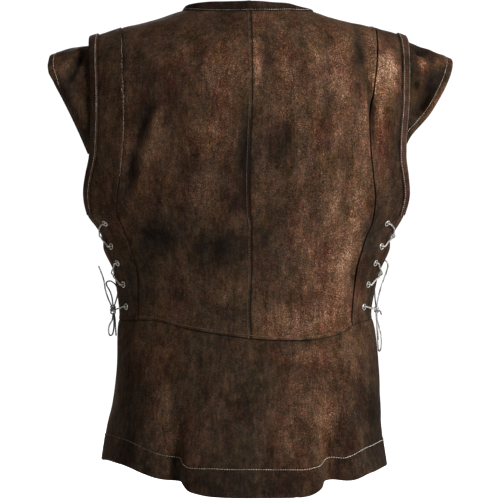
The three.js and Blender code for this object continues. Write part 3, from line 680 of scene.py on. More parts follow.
def shell(
    name, outer, thick, nodes=(), wear_and_shade=0.3, seam=0.0,
    ring=False, centre=TRUNK, holes=(), material=None,
):
    """A closed wall of leather under a grid of points, with a half round cut edge."""
    shape = outer.shape[:2]
    count = shape[0] * shape[1]
    index = np.arange(count).reshape(shape)
    if ring:
        wrapped = np.concatenate([outer[:, -2:], outer, outer[:, :2]], axis=1)
        normals = facing(wrapped, centre)[:, 2:-2]
        loops = [index[0], index[-1, ::-1]]
        beyond = [outer[0] - outer[1], (outer[-1] - outer[-2])[::-1]]
        index = np.concatenate([index, index[:, :1]], axis=1)
    else:
        normals = facing(outer, centre)
        loops = [np.concatenate([index[0, :-1], index[:-1, -1], index[-1, :0:-1], index[:0:-1, 0]])]
        away = np.zeros_like(outer)
        away[0] += outer[0] - outer[1]
        away[-1] += outer[-1] - outer[-2]
        away[:, 0] += outer[:, 0] - outer[:, 1]
        away[:, -1] += outer[:, -1] - outer[:, -2]
        beyond = [away.reshape(-1, 3)[loops[0]]]
    thick = np.broadcast_to(np.asarray(thick, float), shape).reshape(-1, 1)
    outer, normals = outer.reshape(-1, 3), normals.reshape(-1, 3)
    points = np.concatenate([outer, outer - normals * thick])
    owner = np.tile(np.arange(count), 2)  # which place of the grid each point belongs to
    faces = [quads(index), quads(index)[:, ::-1] + count]
    for loop, way in zip(loops, beyond):
        edge = (points[loop] + points[loop + count]) / 2 + unit(way) * thick[loop] * 0.35
        rim = np.stack([loop, len(points) + np.arange(len(loop)), loop + count])
        faces.append(quads(np.concatenate([rim, rim[:, :1]], axis=1))[:, ::-1])
        points = np.concatenate([points, edge])
        owner = np.concatenate([owner, loop])
    faces = np.concatenate(faces)
    a, b, c = (points[faces[:, k]] for k in range(3))
    if (a * np.cross(b, c)).sum() < 0:
        faces = faces[:, ::-1]
    piece = mesh_object(f"{name}_leather", points, faces.tolist(), material or HIDE)
    for attribute, values in (("wear_and_shade", wear_and_shade), ("seam", seam)):
        values = np.broadcast_to(np.asarray(values, float), shape).reshape(-1)[owner]
        piece.data.attributes.new(attribute, "FLOAT", "POINT").data.foreach_set("value", values)
    if holes:
        punch(piece, holes, HOLE / 2)
    return settled(piece, nodes)


# ------------------------------------------------------------------ folds, wear and painted shade
# How the worn leather hangs: soft troughs with a ridge beside them where it is pulled or has
# slack, and a slight waviness all over. Wear is rubbed in on the blades, seams and hips, and
# painted shade is laid in the troughs, with painted light on the ridges.

FOLDS = {
    "back": [
        # (x, z) from one end to the other, half width, depth, side of the ridge
        ([(-134, -132), (-140, -164), (-150, -196), (-159, -230), (-167, -266)], 8.5, 5.6, 1),
        ([(150, -50), (155, -82), (161, -108), (167, -138), (169, -196)], 5, 5.5, -1),
        ([(-2, -140), (-3, -200), (0, -272)], 9, 2.5, -1),
        ([(66, -22), (74, -70), (76, -128)], 12, 2.4, 1),
        ([(112, -20), (104, -64), (106, -120), (114, -170)], 10, 2.6, 1),
        ([(20, -30), (24, -90), (18, -150)], 11, 1.8, -1),
        ([(-60, -30), (-70, -90), (-60, -140)], 12, 2.0, 1),
        ([(-84, -200), (-92, -262), (-84, -320)], 12, 2.0, 1),
        ([(82, -210), (92, -270), (88, -340)], 12, 2.2, -1),
        ([(128, -200), (136, -262), (128, -330)], 9, 2.4, -1),
        ([(40, -160), (52, -190), (58, -224)], 12, 1.8, 1),
        ([(-150, -300), (-128, -318), (-100, -330)], 11, 2.6, 1),
        ([(-60, -300), (-24, -322), (4, -330)], 10, 1.4, 1),
        ([(168, -300), (152, -338), (140, -380), (138, -420)], 9, 2.8, -1),
        ([(-170, -60), (-174, -110)], 6, 1.6, 1),
        ([(96, -34), (110, -66), (112, -104)], 12, 1.8, -1),
        ([(-100, -40), (-118, -76)], 11, 1.8, 1),
        ([(-150, -392), (-100, -402), (-40, -420)], 9, 1.3, 1),
        ([(30, -398), (84, -412), (130, -404)], 10, 1.2, -1),
    ],
    "front": [
        ([(-168, -196), (-128, -232), (-84, -252)], 9, 3.4, 1),
        ([(166, -190), (132, -222), (96, -238)], 9, 3.0, -1),
        ([(-118, -60), (-86, -118), (-60, -168)], 11, 2.6, 1),
        ([(112, -56), (90, -112), (70, -150)], 12, 2.4, -1),
        ([(-154, -330), (-104, -352), (-40, -362)], 10, 2.4, 1),
        ([(150, -324), (102, -350), (52, -356)], 10, 2.6, -1),
        ([(-12, -180), (-8, -246), (2, -300)], 13, 2.0, 1),
        ([(-120, -400), (-60, -414), (10, -418)], 9, 1.6, 1),
        ([(40, -400), (90, -410), (140, -398)], 9, 1.4, -1),
    ],
}


def to_line(x, z, line):
    """Each place's distance from a line, which side of it is right, and the share along it."""
    line = np.array(line, float)
    before = run_of(line)
    lengths = np.diff(before)
    best = np.full(x.shape, np.inf)
    hand, share = np.ones(x.shape), np.zeros(x.shape)
    for k, (a, b) in enumerate(zip(line[:-1], line[1:])):
        way = (b - a) / lengths[k]
        along = np.clip((x - a[0]) * way[0] + (z - a[1]) * way[1], 0, lengths[k])
        dx, dz = x - a[0] - along * way[0], z - a[1] - along * way[1]
        far = np.hypot(dx, dz)
        near = far < best
        best = np.where(near, far, best)
        hand = np.where(near, np.sign(dx * -way[1] + dz * way[0]), hand)
        share = np.where(near, (before[k] + along) / before[-1], share)
    return best, hand, share


def folds(points, lines):
    """How far soft troughs, each with a low ridge on one side, lift the leather."""
    x, z = points[..., 0], points[..., 2]
    out = np.zeros(x.shape)
    for k, (line, wide, deep, ridge_side) in enumerate(lines):
        far, hand, share = to_line(x, z, line)
        uneven = 1 + 0.3 * np.sin(9 * share + 1.7 * k)
        fade = np.sin(math.pi * np.clip(share, 0.02, 0.98)) ** 0.7 * uneven
        trough = np.exp(-((far / wide) ** 2))
        beside = np.exp(-(((far - 2 * wide) / (1.4 * wide)) ** 2)) * (hand == ridge_side)
        out += fade * deep * (0.4 * beside - trough)
    return out


def waves(points, length, seed):
    """A slight waviness of about that wavelength, from -1 to 1."""
    random = np.random.default_rng(seed)
    ways = unit(random.normal(size=(14, 3)))
    sizes = length * random.uniform(0.7, 1.5, 14)
    turns = 2 * math.pi * (points @ ways.T) / sizes + random.uniform(0, 2 * math.pi, 14)
    return np.sin(turns).sum(-1) / 5


def slack(points):
    """The leather's own unevenness, in long, middle and short waves."""
    return 1.3 * waves(points, 120, 3) + 0.65 * waves(points, 48, 5) + 0.2 * waves(points, 19, 8)


WORN_AND_HIGHLIGHTED = {
    "back": [
        # x, z, reach across and up, and how much lighter: wear, and a few painted highlights
        (-38, -110, 26, 38, 0.11), (-50, -178, 24, 32, 0.12), (-68, -262, 30, 30, 0.07),
        (-90, -245, 30, 26, 0.05), (112, -84, 24, 42, 0.14), (57, -94, 15, 50, 0.1),
        (13, -84, 7, 52, 0.12), (146, -292, 13, 76, 0.16), (126, -380, 22, 56, 0.12),
        (94, -250, 26, 60, 0.08), (64, -434, 44, 34, 0.10), (120, -160, 34, 40, 0.05),
        # the last patch on this line and the first two on the next are painted highlights: the lit
        # top of the right side panel and the lit lip at the right seam
        (-30, -392, 30, 24, 0.06), (-82, -360, 20, 40, 0.06), (191, -92, 15, 32, 0.4),
        (170, -118, 6, 30, 0.14), (181, -146, 9, 34, 0.2), (92, -350, 20, 50, 0.05),
        (-180, -330, 26, 60, 0.08), (-120, -400, 40, 40, 0.05),
        (-74, -62, 50, 34, 0.12), (-30, -80, 50, 50, 0.05), (-200, -120, 40, 60, 0.07),
        (180, -196, 11, 44, 0.13), (168, -50, 8, 24, 0.1),
    ],
    "front": [
        (60, -180, 50, 60, 0.10), (-70, -210, 60, 50, 0.08), (0, -330, 60, 40, 0.08),
        (-120, -100, 30, 50, 0.08), (120, -110, 30, 50, 0.10), (90, -400, 40, 30, 0.06),
    ],
}
STAINED_AND_SHADED = {
    # as the table above, but darker: stains, and a few patches of painted shade
    "back": [
        (-118, -314, 26, 24, 0.25), (-42, -332, 34, 28, 0.14), (-6, -230, 10, 58, 0.13),
        (46, -192, 34, 30, 0.05), (20, -160, 20, 34, 0.05), (-22, -330, 34, 14, 0.08),
        (-140, -112, 12, 60, 0.04), (-150, -352, 24, 30, 0.08), (170, -330, 10, 56, 0.12),
        (20, -300, 24, 40, 0.06), (60, -262, 34, 40, 0.06), (28, -60, 8, 32, 0.10),
        # the last patch on this line is painted shade in the valley beside the right seam, and the
        # first on the next line painted shade in the valley of the left crease
        (26, -350, 24, 70, 0.10), (118, -225, 24, 50, 0.06), (150, -80, 7, 50, 0.24),
        (-142, -150, 14, 30, 0.08), (-80, -370, 90, 56, 0.06), (-120, -190, 30, 50, 0.04),
        (176, -400, 12, 30, 0.1), (150, -222, 16, 26, 0.05), (206, -176, 16, 60, 0.08),
        (-112, -64, 40, 30, 0.04),
    ],
    "front": [(-30, -120, 40, 30, 0.10), (100, -300, 40, 40, 0.12), (-130, -330, 40, 50, 0.12)],
}


def patches(points, places):
    """The sum of soft round patches, given as in WORN_AND_HIGHLIGHTED."""
    x, z = points[..., 0], points[..., 2]
    total = np.zeros(x.shape)
    for px, pz, wide, tall, amount in places:
        total += amount * np.exp(-(((x - px) / wide) ** 2) - ((z - pz) / tall) ** 2)
    return total


def wear_and_shade_of(half, points, base):
    """Rubbing and stains, with painted shade in the fold troughs and painted light on the ridges.
    """
    painted_fold_shade = 0.036 * folds(points, FOLDS[half]) + 0.012 * slack(points)
    return base + patches(points, WORN_AND_HIGHLIGHTED[half]) - patches(points, STAINED_AND_SHADED[half]) + painted_fold_shade


# ------------------------------------------------------------------ body panels
# Two back panels meet at a lapped seam down the middle, and a narrow side panel is sewn to each
# and runs over to the armhole and the laced edge. The front is one panel. Each is 2 mm thick.

LEATHER = 2.0
WAIST = {
    "back": table(
        "x z",
        (-182, -433), (-131, -432), (-77, -443), (7, -455), (61, -457),
        (97, -454), (125, -447), (150, -436), (182, -431),
    ),
    "front": table("x z", (-182, -433), (-110, -440), (0, -452), (110, -440), (182, -431)),
}
ROLL = np.array([0, 0.6, 1.3, 2.2, 3.4, 5, 7, 9.5])  # closer points where an edge rolls
STEP = 3.2  # between points elsewhere
SEAM_GAP = 0.3
WAIST_Z = -440  # about where the waist seam is
RISE = 310  # about the way from the waist seam up to the yoke line
YOKE_OVER = 190  # and from there over to the ridge of the shoulder


def spread(width, keep=()):
    """Shares of a width: close together at its two edges, and with the kept shares among them."""
    count = round((width - 2 * ROLL[-1]) / STEP) + 1
    middle = np.linspace(ROLL[-1], width - ROLL[-1], count)
    shares = np.r_[ROLL, middle[1:-1], (width - ROLL)[::-1]] / width
    for share in keep:
        shares[np.abs(shares - share).argmin()] = share
    return shares


LOW_ROWS = np.r_[ROLL, np.arange(12, RISE - 2, STEP), RISE] / RISE
YOKE_ROWS = np.r_[np.linspace(0, 0.95, 52)[1:], (1 - ROLL[::-1] / YOKE_OVER)[1:]]
YOKE_ROWS = np.unique(np.round(YOKE_ROWS, 4))
MIDDLE = spread(175, keep=[NECK_HALF / SHOULDER_SEAM])  # columns from the middle to the seam
NARROW = spread(76)  # and from the seam to the open edge


def waist(half, turn):
    return read(WAIST[half], "x", "z", across(turn, WAIST["back"]["z"][0]))


def top_climb(half, x):
    inner = ridge(NECK_HALF) - NECK_DROP[half] * (1 - np.minimum(1, np.abs(x) / NECK_HALF) ** 2.3)
    share = np.clip((inner - YOKE_Z) / (ridge(x) - YOKE_Z), 0, 1)
    return np.where(np.abs(x) >= NECK_HALF - 0.01, 1.0, np.arcsin(share) / SIDE)


def panel_grid(half, turns_of):
    """Points of a panel, from the waist up and over to the ridge of the shoulder."""
    share = LOW_ROWS[:, None]
    z = WAIST_Z + (YOKE_Z - WAIST_Z) * share
    for _ in range(4):  # the waist's height follows the turn, and the turn the height
        turn = turns_of(z)
        z = waist(half, turn) * (1 - share) + YOKE_Z * share
    low = body(half, turn, z - YOKE_Z)
    share = YOKE_ROWS[:, None]
    turn = turns_of(height(share, SHOULDER_SEAM))
    climb = share * top_climb(half, across(turn, YOKE_Z))
    return np.concatenate([low, body(half, turn, climb)])


def middle_turns(side, z):
    """Turns of a panel's columns from left to right, from the middle line to the seam."""
    z = z[:, ::side]
    return turn_at(side * MIDDLE * read(PANEL_SEAM, "z", SIDE_NAME[side], z), z)[:, ::side]


def side_turns(half, side, z):
    """Turns of a side panel's columns from left to right, between the seam and the open edge."""
    z = z[:, ::side]
    seam, edge = np.abs(seam_turn(side, z)), edge_turn(half, side, z)
    return (side * (seam + (edge - seam) * NARROW))[:, ::side]


def runs(grid):
    """Distances in millimetres from a grid's left, right, bottom and top edges."""
    left, bottom = run_of(grid, 1), run_of(grid, 0)
    return left, left[:, -1:] - left, bottom, bottom[-1:] - bottom


def near(distance, reach):
    """1 at an edge, falling softly to nothing at about twice the reach."""
    return np.exp(-((distance / reach) ** 2))


def strip(distance, width, soft=1.2):
    """1 up to a width from an edge, then softly 0."""
    return 1 / (1 + np.exp((distance - width) / (soft / 2)))


def trimmed(grid):
    """The grid drawn in all round by half a seam's gap."""
    out = grid.copy()
    every = slice(None)
    for edge, inner in ((0, 1), (-1, -2), ((every, 0), (every, 1)), ((every, -1), (every, -2))):
        out[edge] += unit(grid[inner] - grid[edge]) * SEAM_GAP / 2
    return out


def dressed(half, grid, relief, calm=1.0):
    """A panel's points with its folds, its slack and the relief of its seams."""
    lift = calm * (folds(grid, FOLDS[half]) + slack(grid)) + relief
    return grid + facing(grid) * lift[..., None]


def near_lacing(grid, from_edge):
    """Folds die out at the armhole and before the eyelets, where the lace holds the leather."""
    laced = strip(grid[..., 2] + 280, 0, 40)
    return np.clip((from_edge - 36 * laced) / 34, 0.06, 1)


panels = {}

for side, name in SIDE_NAME.items():
    grid = trimmed(panel_grid("back", lambda z: middle_turns(side, z)))
    left, right, bottom, top = runs(grid)
    if side < 0:
        inner, outer = right, left
        relief = 0.5 * strip(inner, 5, 2) - 0.9 * near(outer, 3) + 0.15 * near(bottom, 5)
        # painted shade: darker in the grooves of the middle seam and of the side seam
        seam = -0.5 * near(outer, 2.2) - 1.1 * near(inner, 0.7) + 0.1 * near(inner - 3, 1.3)
    else:
        inner, outer = left, right
        relief = -0.5 * near(inner, 1.6) + 1.4 * near(outer - 3, 4) - 2.2 * near(outer, 1.6)
        relief += 0.9 * near(bottom, 5)
        deep = 0.8 + 1.2 * strip(-grid[..., 2], 190, 60)  # painted shade in the side seam's groove, darkest at the shoulder
        seam = -1.5 * near(inner, 0.8) - deep * near(outer, 1.4)
    relief -= 0.3 * near(top, 5)
    # the left panel's tone is lower: partly a darker hide, partly painted shade, as the left lies
    # away from the key light
    wear_and_shade = wear_and_shade_of("back", grid, 0.32 if side < 0 else 0.4)
    grid = dressed("back", grid, relief, 1 - 0.7 * near(inner, 12))
    panels[f"back_{name}"] = grid
    cut = (224, 484, 852) if side < 0 else (218, 484, 822)
    shell(f"back_{name}", grid, LEATHER, [f"back_{name}"], wear_and_shade, seam)

for side, name in SIDE_NAME.items():
    grid = trimmed(panel_grid("back", lambda z: side_turns("back", side, z)))
    left, right, bottom, top = runs(grid)
    wear_and_shade = wear_and_shade_of("back", grid, 0.3)
    if side < 0:
        inner, outer = right, left
        raised, pushed, pale, painted_shade, cut = 0.5, 1.0, 0.12, 0.2, (67, 466, 256)
    else:
        inner, outer = left, right
        raised, pushed, pale, painted_shade, cut = 0.9, 2.5, 0.4, 1.0, (66, 470, 264)
        # painted highlight: lighter beside the lapped edge near the top, where it catches the key
        # light
        wear_and_shade += 0.14 * near(inner - 3, 4) * patches(grid, [(176, -84, 30, 36, 1)])
    relief = raised * strip(inner, 5, 3) + 0.3 * near(bottom, 4) - 0.3 * near(top, 5)
    relief += pushed * patches(grid, [(side * 192, -110, 12, 50, 1)])
    # painted light and shade: a pale line on the lapped edge is a painted highlight, the dark line
    # at the edge a painted shadow in the seam's gap, and the dark line 15 mm in from the open edge
    # painted shade along the armhole band's inner edge
    seam = pale * near(inner - 0.6, 0.9) - painted_shade * near(inner, 0.5) - 0.7 * near(outer - 15, 1.3)
    grid = dressed("back", grid, relief, near_lacing(grid, outer))
    panels[f"side_{name}"] = grid
    holes = eyelet_places("back", side)
    shell(f"side_{name}", grid, LEATHER, [f"side_{name}"], wear_and_shade, seam, holes=holes)


def front_turns(z):
    """The front is one panel, so its columns run on from one edge to the other."""
    ends = np.cumsum([0, len(NARROW) - 1, len(MIDDLE) - 1, len(MIDDLE) - 1, len(NARROW) - 1])
    z = np.broadcast_to(z, (len(z), ends[-1] + 1))
    part = [z[:, a : b + 1] for a, b in zip(ends[:-1], ends[1:])]
    turns = [
        side_turns("front", -1, part[0]), middle_turns(-1, part[1])[:, 1:],
        middle_turns(1, part[2])[:, 1:], side_turns("front", 1, part[3])[:, 1:],
    ]
    return np.concatenate(turns, axis=1)


grid = trimmed(panel_grid("front", front_turns))
left, right, bottom, top = runs(grid)
relief = 0.5 * near(bottom, 5) - 0.3 * near(top, 5)
wear_and_shade = wear_and_shade_of("front", grid, 0.33)
panels["front"] = dressed("front", grid, relief, near_lacing(grid, np.minimum(left, right)))
holes = eyelet_places("front", -1) + eyelet_places("front", 1)
shell("front", panels["front"], LEATHER, ["front"], wear_and_shade, holes=holes)

# ------------------------------------------------------------------ neckband
# A strip of the same leather, doubled and sewn all round the neck edge so that it stands up and
# leans in, with one row of topstitching just over the seam.

NECK_LEAN = 0.35  # how far in it leans for each millimetre up
NECK_TUCK = 0.4  # how far it reaches down behind the seam
NECKBAND_RISE = {
    "back": table(
        "x rise",
        (-97, 4), (-85, 9), (-58, 14.3), (-30, 15.8), (0, 16), (27, 14.6), (58, 11.5),
        (75, 7.4), (90, 3.6), (97, 2.6),
    ),
    "front": table("x rise", (-97, 4), (0, 9), (97, 4)),
}


def neckline():
    """The sewn neck edge from the left shoulder across the back, and round the front."""
    ring = []
    for name, start, step in (("back_left", 0, 1), ("back_right", 1, 1), ("front", 1, -1)):
        edge = panels[name][-1]
        edge = edge[np.abs(edge[:, 0]) < NECK_HALF + 0.3][::step]
        ring.append(edge[start : len(edge) - (name == "front")])
    ring = np.concatenate(ring)
    for _ in range(3):  # evens out the small steps from panel to panel
        ring = (np.roll(ring, 1, axis=0) + 2 * ring + np.roll(ring, -1, axis=0)) / 4
    back = ring[:, 1] < 0
    rises = [read(NECKBAND_RISE[half], "x", "rise", ring[:, 0]) for half in ("back", "front")]
    return ring, np.where(back, *rises)


edge, rise = neckline()
outward = unit(edge * (1, 1, 0))
up = unit((0, 0, 1) - outward * NECK_LEAN)
shares = np.array([0, 0.08, 0.2, 0.34, 0.5, 0.66, 0.8, 0.92, 1])[:, None, None]
belly = 0.5 * np.sin(math.pi * shares) - 0.3 * (1 - shares) ** 4
belly = belly + 0.35 * waves(edge, 40, 21)[:, None] * shares
neckband = edge + up * ((rise[:, None] + NECK_TUCK) * shares - NECK_TUCK) + outward * belly
shell(
    "neckband", neckband, LEATHER, ["neckband"], 0.2 + 0.1 * shares[..., 0],
    ring=True, centre=(0, 0, -400),
    material=BINDING,
)
panels["neckband"] = neckband

# ------------------------------------------------------------------ armhole bands and caps
# A flat strip, 14 mm wide, is laid round each armhole over the panels' edge and topstitched.
# The cap sleeve is held under that edge, falls a little, and stands out over the arm in folds.

ARMHOLE_FOOT_Z = -287
CAP_FOOT_Z = -200
BAND_THICK = 1.6
BAND_INSETS = np.array([0.15, 0.7, 1.4, 2.4, 4, 6, 8, 10, 11.6, 12.6, 13.3, 13.85])
CAP_TUCK = 8  # how far the cap reaches in under the armhole's edge
CAP_EDGE = {
    -1: table(
        "z reach",
        (-204, 221), (-180, 231), (-152, 244), (-128, 256), (-109, 266),
        (-93, 273), (-80, 277), (-70, 278.5), (-63, 278), (-59, 275),
    ),
    1: table(
        "z reach",
        (-204, 212), (-180, 224), (-150, 250), (-124, 266), (-103, 276),
        (-86, 283), (-76, 285.5), (-70, 285.5), (-64, 280),
    ),
}
CAP_DROP = {-1: 8, 1: 1}  # how far its top edge is below the shoulder at the armhole
CAP_ARCH = {-1: 5, 1: 1}  # how far its middle stands up over the straight way to its rim
CAP_CURL = {-1: 16, 1: 3}  # how far the lower rim rolls in under the arm
CAP_COLUMNS = 30


def along_edge(grid, edge, insets):
    """Points and normals on a grid at set distances in from one of its edges."""
    both = np.concatenate([grid, facing(grid)], axis=2)
    if edge in ("bottom", "top"):
        both = both.transpose(1, 0, 2)
    if edge in ("right", "top"):
        both = both[:, ::-1]
    run = run_of(both[..., :3], 1)
    insets = np.broadcast_to(insets, (len(run), np.shape(insets)[-1]))
    out = np.array(
        [[np.interp(at, r, row[:, k]) for k in range(6)] for at, r, row in zip(insets, run, both)]
    )
    out = out.transpose(0, 2, 1)
    return out[..., :3], unit(out[..., 3:])


def armhole_strip(side, foot_z, insets):
    """The strip beside an armhole, from its foot at the back, over the shoulder, to the front."""
    name = SIDE_NAME[side]
    pieces = []
    for grid in (panels[f"side_{name}"], panels["front"]):
        points, normals = along_edge(grid, name, insets)
        keep = points[:, 0, 2] > foot_z - 1.5
        pieces.append((points[keep], normals[keep]))
    (back, back_normals), (front, front_normals) = pieces
    points = np.concatenate([back, front[::-1]])
    normals = np.concatenate([back_normals, front_normals[::-1]])
    for _ in range(6):  # so that they turn smoothly over the shoulder
        normals[1:-1] = unit(normals[:-2] + 2 * normals[1:-1] + normals[2:])
    return points, normals


bands = {}
for side, name in SIDE_NAME.items():
    points, normals = armhole_strip(side, ARMHOLE_FOOT_Z, BAND_INSETS)
    round_over = 0.7 * near(np.minimum(BAND_INSETS, BAND_WIDTH - BAND_INSETS), 1.6)
    ripple = 0.3 * waves(points, 30, 31)
    grid = points + normals * (0.4 + BAND_THICK - round_over + np.maximum(ripple, -0.1))[..., None]
    # the left band's tone is lower, partly painted shade, as the left lies away from the key light
    wear_and_shade = wear_and_shade_of("back", grid, 0.36 if side < 0 else 0.4)
    bands[side] = grid
    shell(
        f"armhole_band_{name}", grid, BAND_THICK,
        [f"armhole_band_{name}"], wear_and_shade, 0.1 * near(BAND_INSETS, 1.2),
        material=BINDING,
    )

CAP_FOLDS = {
    # place along the cap from the back's foot to the front's, its reach, and how far it stands out
    -1: (
        (0.10, 0.035, 3), (0.22, 0.05, -5), (0.33, 0.04, 5), (0.44, 0.05, -3),
        (0.60, 0.05, 4), (0.75, 0.05, -4), (0.88, 0.04, 4),
    ),
    1: (
        (0.12, 0.04, -4), (0.23, 0.04, 5), (0.34, 0.045, -5), (0.45, 0.04, 3),
        (0.58, 0.05, -4), (0.70, 0.05, 4), (0.86, 0.05, -4),
    ),
}
CAP_CREASES = {
    # as FOLDS: the cap is pinched where it is held at the armhole's top
    -1: [
        ([(-227, -56), (-238, -80), (-252, -106)], 6, 10, -1),
        ([(-230, -120), (-240, -140), (-236, -170)], 6, 2.5, -1),
    ],
    1: [
        ([(232, -58), (246, -62), (262, -76)], 5.5, 9, -1),
        ([(276, -80), (260, -104), (242, -132), (228, -160)], 8, 12, 1),
        ([(228, -96), (234, -122)], 5, 4, 1),
    ],
}
CAP_LIGHT_AND_SHADE = [
    # as the wear tables: mostly painted highlights and painted shade on the caps' folds, darker
    # where it is less than nothing
    (-262, -78, 16, 22, 0.08), (242, -84, 6, 13, 0.34), (240, -58, 12, 9, -0.16),
    (250, -106, 11, 15, -0.16), (270, -78, 14, 12, 0.12), (242, -146, 14, 22, 0.1),
]
caps = {}


def cap_form(side):
    """A cap without its folds, from under the armhole's edge out to its rim, and each of its
    rows' share of the way round the armhole."""
    points, normals = armhole_strip(side, CAP_FOOT_Z, [0, CAP_TUCK])
    under = points - normals * (LEATHER + 1)
    root, lip = under[:, 1], under[:, 0] - normals[:, 0]
    z = points[:, 0, 2]
    rise = (z - CAP_FOOT_Z) / (z.max() - CAP_FOOT_Z)
    edge = CAP_EDGE[side]
    rim_z = edge["z"][0] + (edge["z"][-1] - edge["z"][0]) * rise
    rim = np.stack([side * read(edge, "z", "reach", rim_z), lip[:, 1] * 1.05, rim_z], axis=1)
    lip[:, 2] -= CAP_DROP[side] * rise**4
    middle = (lip + rim) / 2
    middle[:, 2] += CAP_ARCH[side] * rise
    t = np.linspace(0, 1, CAP_COLUMNS)[:, None, None]
    out = (1 - t) ** 2 * lip + 2 * t * (1 - t) * middle + t * t * rim
    grid = np.concatenate([root[None], (root + lip)[None] / 2, out]).transpose(1, 0, 2)
    return grid, run_of(rim) / run_of(rim)[-1]


for side, name in SIDE_NAME.items():
    grid, share = cap_form(side)
    centre = (side * 150, 0, -300)  # in the armhole: a cap's leather faces away from it
    flare = np.r_[0, 0, np.linspace(0, 1, CAP_COLUMNS) ** 1.2]
    fold = sum(size * near(share - at, wide) for at, wide, size in CAP_FOLDS[side])
    fold *= np.sin(math.pi * share) ** 0.3 * (1 - 0.7 * near(share - 0.5, 0.06))
    lift = 0.55 * fold[:, None] * flare
    lift += folds(grid, CAP_CREASES[side]) * np.minimum(1, flare * 6) * (1 - 0.5 * flare)
    lift += (1.2 * waves(grid, 60, 33) + 0.5 * waves(grid, 24, 34)) * np.minimum(1, flare * 3)
    grid = grid + facing(grid, centre) * lift[..., None]
    left, right, bottom, top = runs(grid)
    curled = CAP_CURL[side] * np.clip((-92 - grid[:, -1:, 2]) / 30, 0, 1)
    grid[..., 1] -= curled * np.clip(1 - right / 15, 0, 1) ** 2 * np.sign(grid[:, -1:, 1])
    left, right, bottom, top = runs(grid)
    thick = LEATHER * (1 + 0.6 * strip(right, 9, 1.5))
    # painted shade: the left cap's tone is lower, partly for the shade on that side; each cap is
    # darker near its root, where the armhole band shades it, and darker in the hollows of its folds
    # and lighter on their ridges (0.03 * lift)
    base, painted_shade = (0.25, 0.02) if side < 0 else (0.31, 0.1)
    wear_and_shade = wear_and_shade_of("back", grid, base) - painted_shade * near(left - 10, 9) + 0.03 * lift
    wear_and_shade += patches(grid, CAP_LIGHT_AND_SHADE) + patches(grid, [(side * 262, -68, 16, 14, 0.1)])
    # painted shade where the cap comes out from under the armhole's edge, and a paler rim
    seam = -0.5 * near(left - 8, 4) + 0.2 * near(right, 1)
    caps[side] = grid
    shell(
        f"cap_{name}", grid, thick, [f"cap_{name}"], wear_and_shade, seam,
        centre=centre,
    )

# ------------------------------------------------------------------ skirt
# Two panels, back and front, sewn to the waist and cut wider at the hem, so that they hang in
# flutes. The hem is turned up 37 mm inside and stitched with one row, 28 to 36 mm over its edge.

HEM = {
    "back": table(
        "x z",
        (-202, -631), (-196, -627), (-186, -626), (-160, -629), (-117, -642.5), (-93, -645.5),
        (-86, -650), (-80, -655), (-68, -657.5), (-50, -661), (-20, -663), (56, -663),
        (76, -661), (92, -655), (104, -648), (116, -644), (138, -645), (162, -638.5),
        (178, -636.5), (188, -635), (195, -635), (200, -637),
    ),
    "front": table(
        "x z",
        (-206, -630), (-120, -640), (-60, -652), (0, -656), (60, -654), (120, -644), (197, -638),
    ),
}
FLUTES = {
    # x at the hem, reach to each side, and how far it stands out
    "back": (
        (-150, 26, 5), (-102, 18, -17), (-66, 18, 5), (14, 34, -4), (82, 16, 5), (116, 18, -17),
        (156, 20, 5),
    ),
    "front": (
        (-146, 24, 4), (-112, 22, -13), (-68, 22, 6), (-12, 28, -8), (46, 24, 5), (100, 22, -15),
        (146, 22, 4),
    ),
}
HEM_TURN = 37
HEM_STITCHED = table(
    # how far above the edge it is stitched, less where a fold drew it down
    "x up",
    (-200, 34), (-117, 31), (-93, 30), (-87, 28), (-80, 30), (-65, 33), (-46, 36), (56, 36),
    (86, 33.5), (97, 31), (105, 27.5), (114, 29), (130, 29), (142, 31), (158, 33), (200, 35),
)
SKIRT_FOLDS = {
    # as FOLDS, from the top down
    "back": [
        ([(-150, -470), (-160, -540), (-166, -600)], 9, 2.2, 1),
        ([(-104, -462), (-106, -540), (-108, -630)], 10, 3.2, -1),
        ([(-92, -560), (-93, -610), (-91, -668)], 5, 4.5, 1),
        ([(106, -560), (108, -610), (106, -668)], 6, 4.5, -1),
        ([(134, -590), (138, -620), (140, -668)], 6, 3, 1),
        ([(-60, -500), (-50, -570), (-44, -640)], 9, 1.4, 1),
        ([(-10, -468), (-20, -540), (-18, -620)], 13, 1.6, -1),
        ([(46, -470), (60, -540), (64, -640)], 11, 1.8, 1),
        ([(112, -462), (118, -540), (122, -636)], 9, 3.0, 1),
        ([(150, -470), (160, -560), (170, -620)], 8, 2.0, -1),
        ([(-180, -452), (-120, -470), (-60, -486)], 9, 1.5, 1),
        ([(30, -478), (80, -486), (140, -478)], 10, 1.2, -1),
    ],
    "front": [
        ([(-130, -462), (-124, -540), (-122, -630)], 10, 3.0, 1),
        ([(-50, -470), (-44, -560), (-30, -640)], 12, 2.0, -1),
        ([(30, -466), (24, -540), (28, -630)], 12, 2.2, 1),
        ([(96, -460), (104, -540), (108, -630)], 10, 3.0, -1),
        ([(158, -470), (166, -560), (176, -620)], 8, 2.0, 1),
    ],
}
SKIRT_WORN_AND_LIT = {
    # as the wear tables; the last two are painted light that lifts the shade in the hollow flutes
    "back": [
        (-60, -560, 60, 70, 0.02), (92, -560, 34, 70, 0.12), (76, -470, 40, 20, 0.14),
        (-100, -470, 30, 18, 0.05), (46, -574, 26, 34, 0.10), (140, -500, 26, 60, 0.06),
        (-96, -590, 20, 50, 0.08), (112, -590, 16, 50, 0.08),
    ],
    "front": [(-60, -540, 60, 70, 0.08), (80, -560, 50, 60, 0.10)],
}
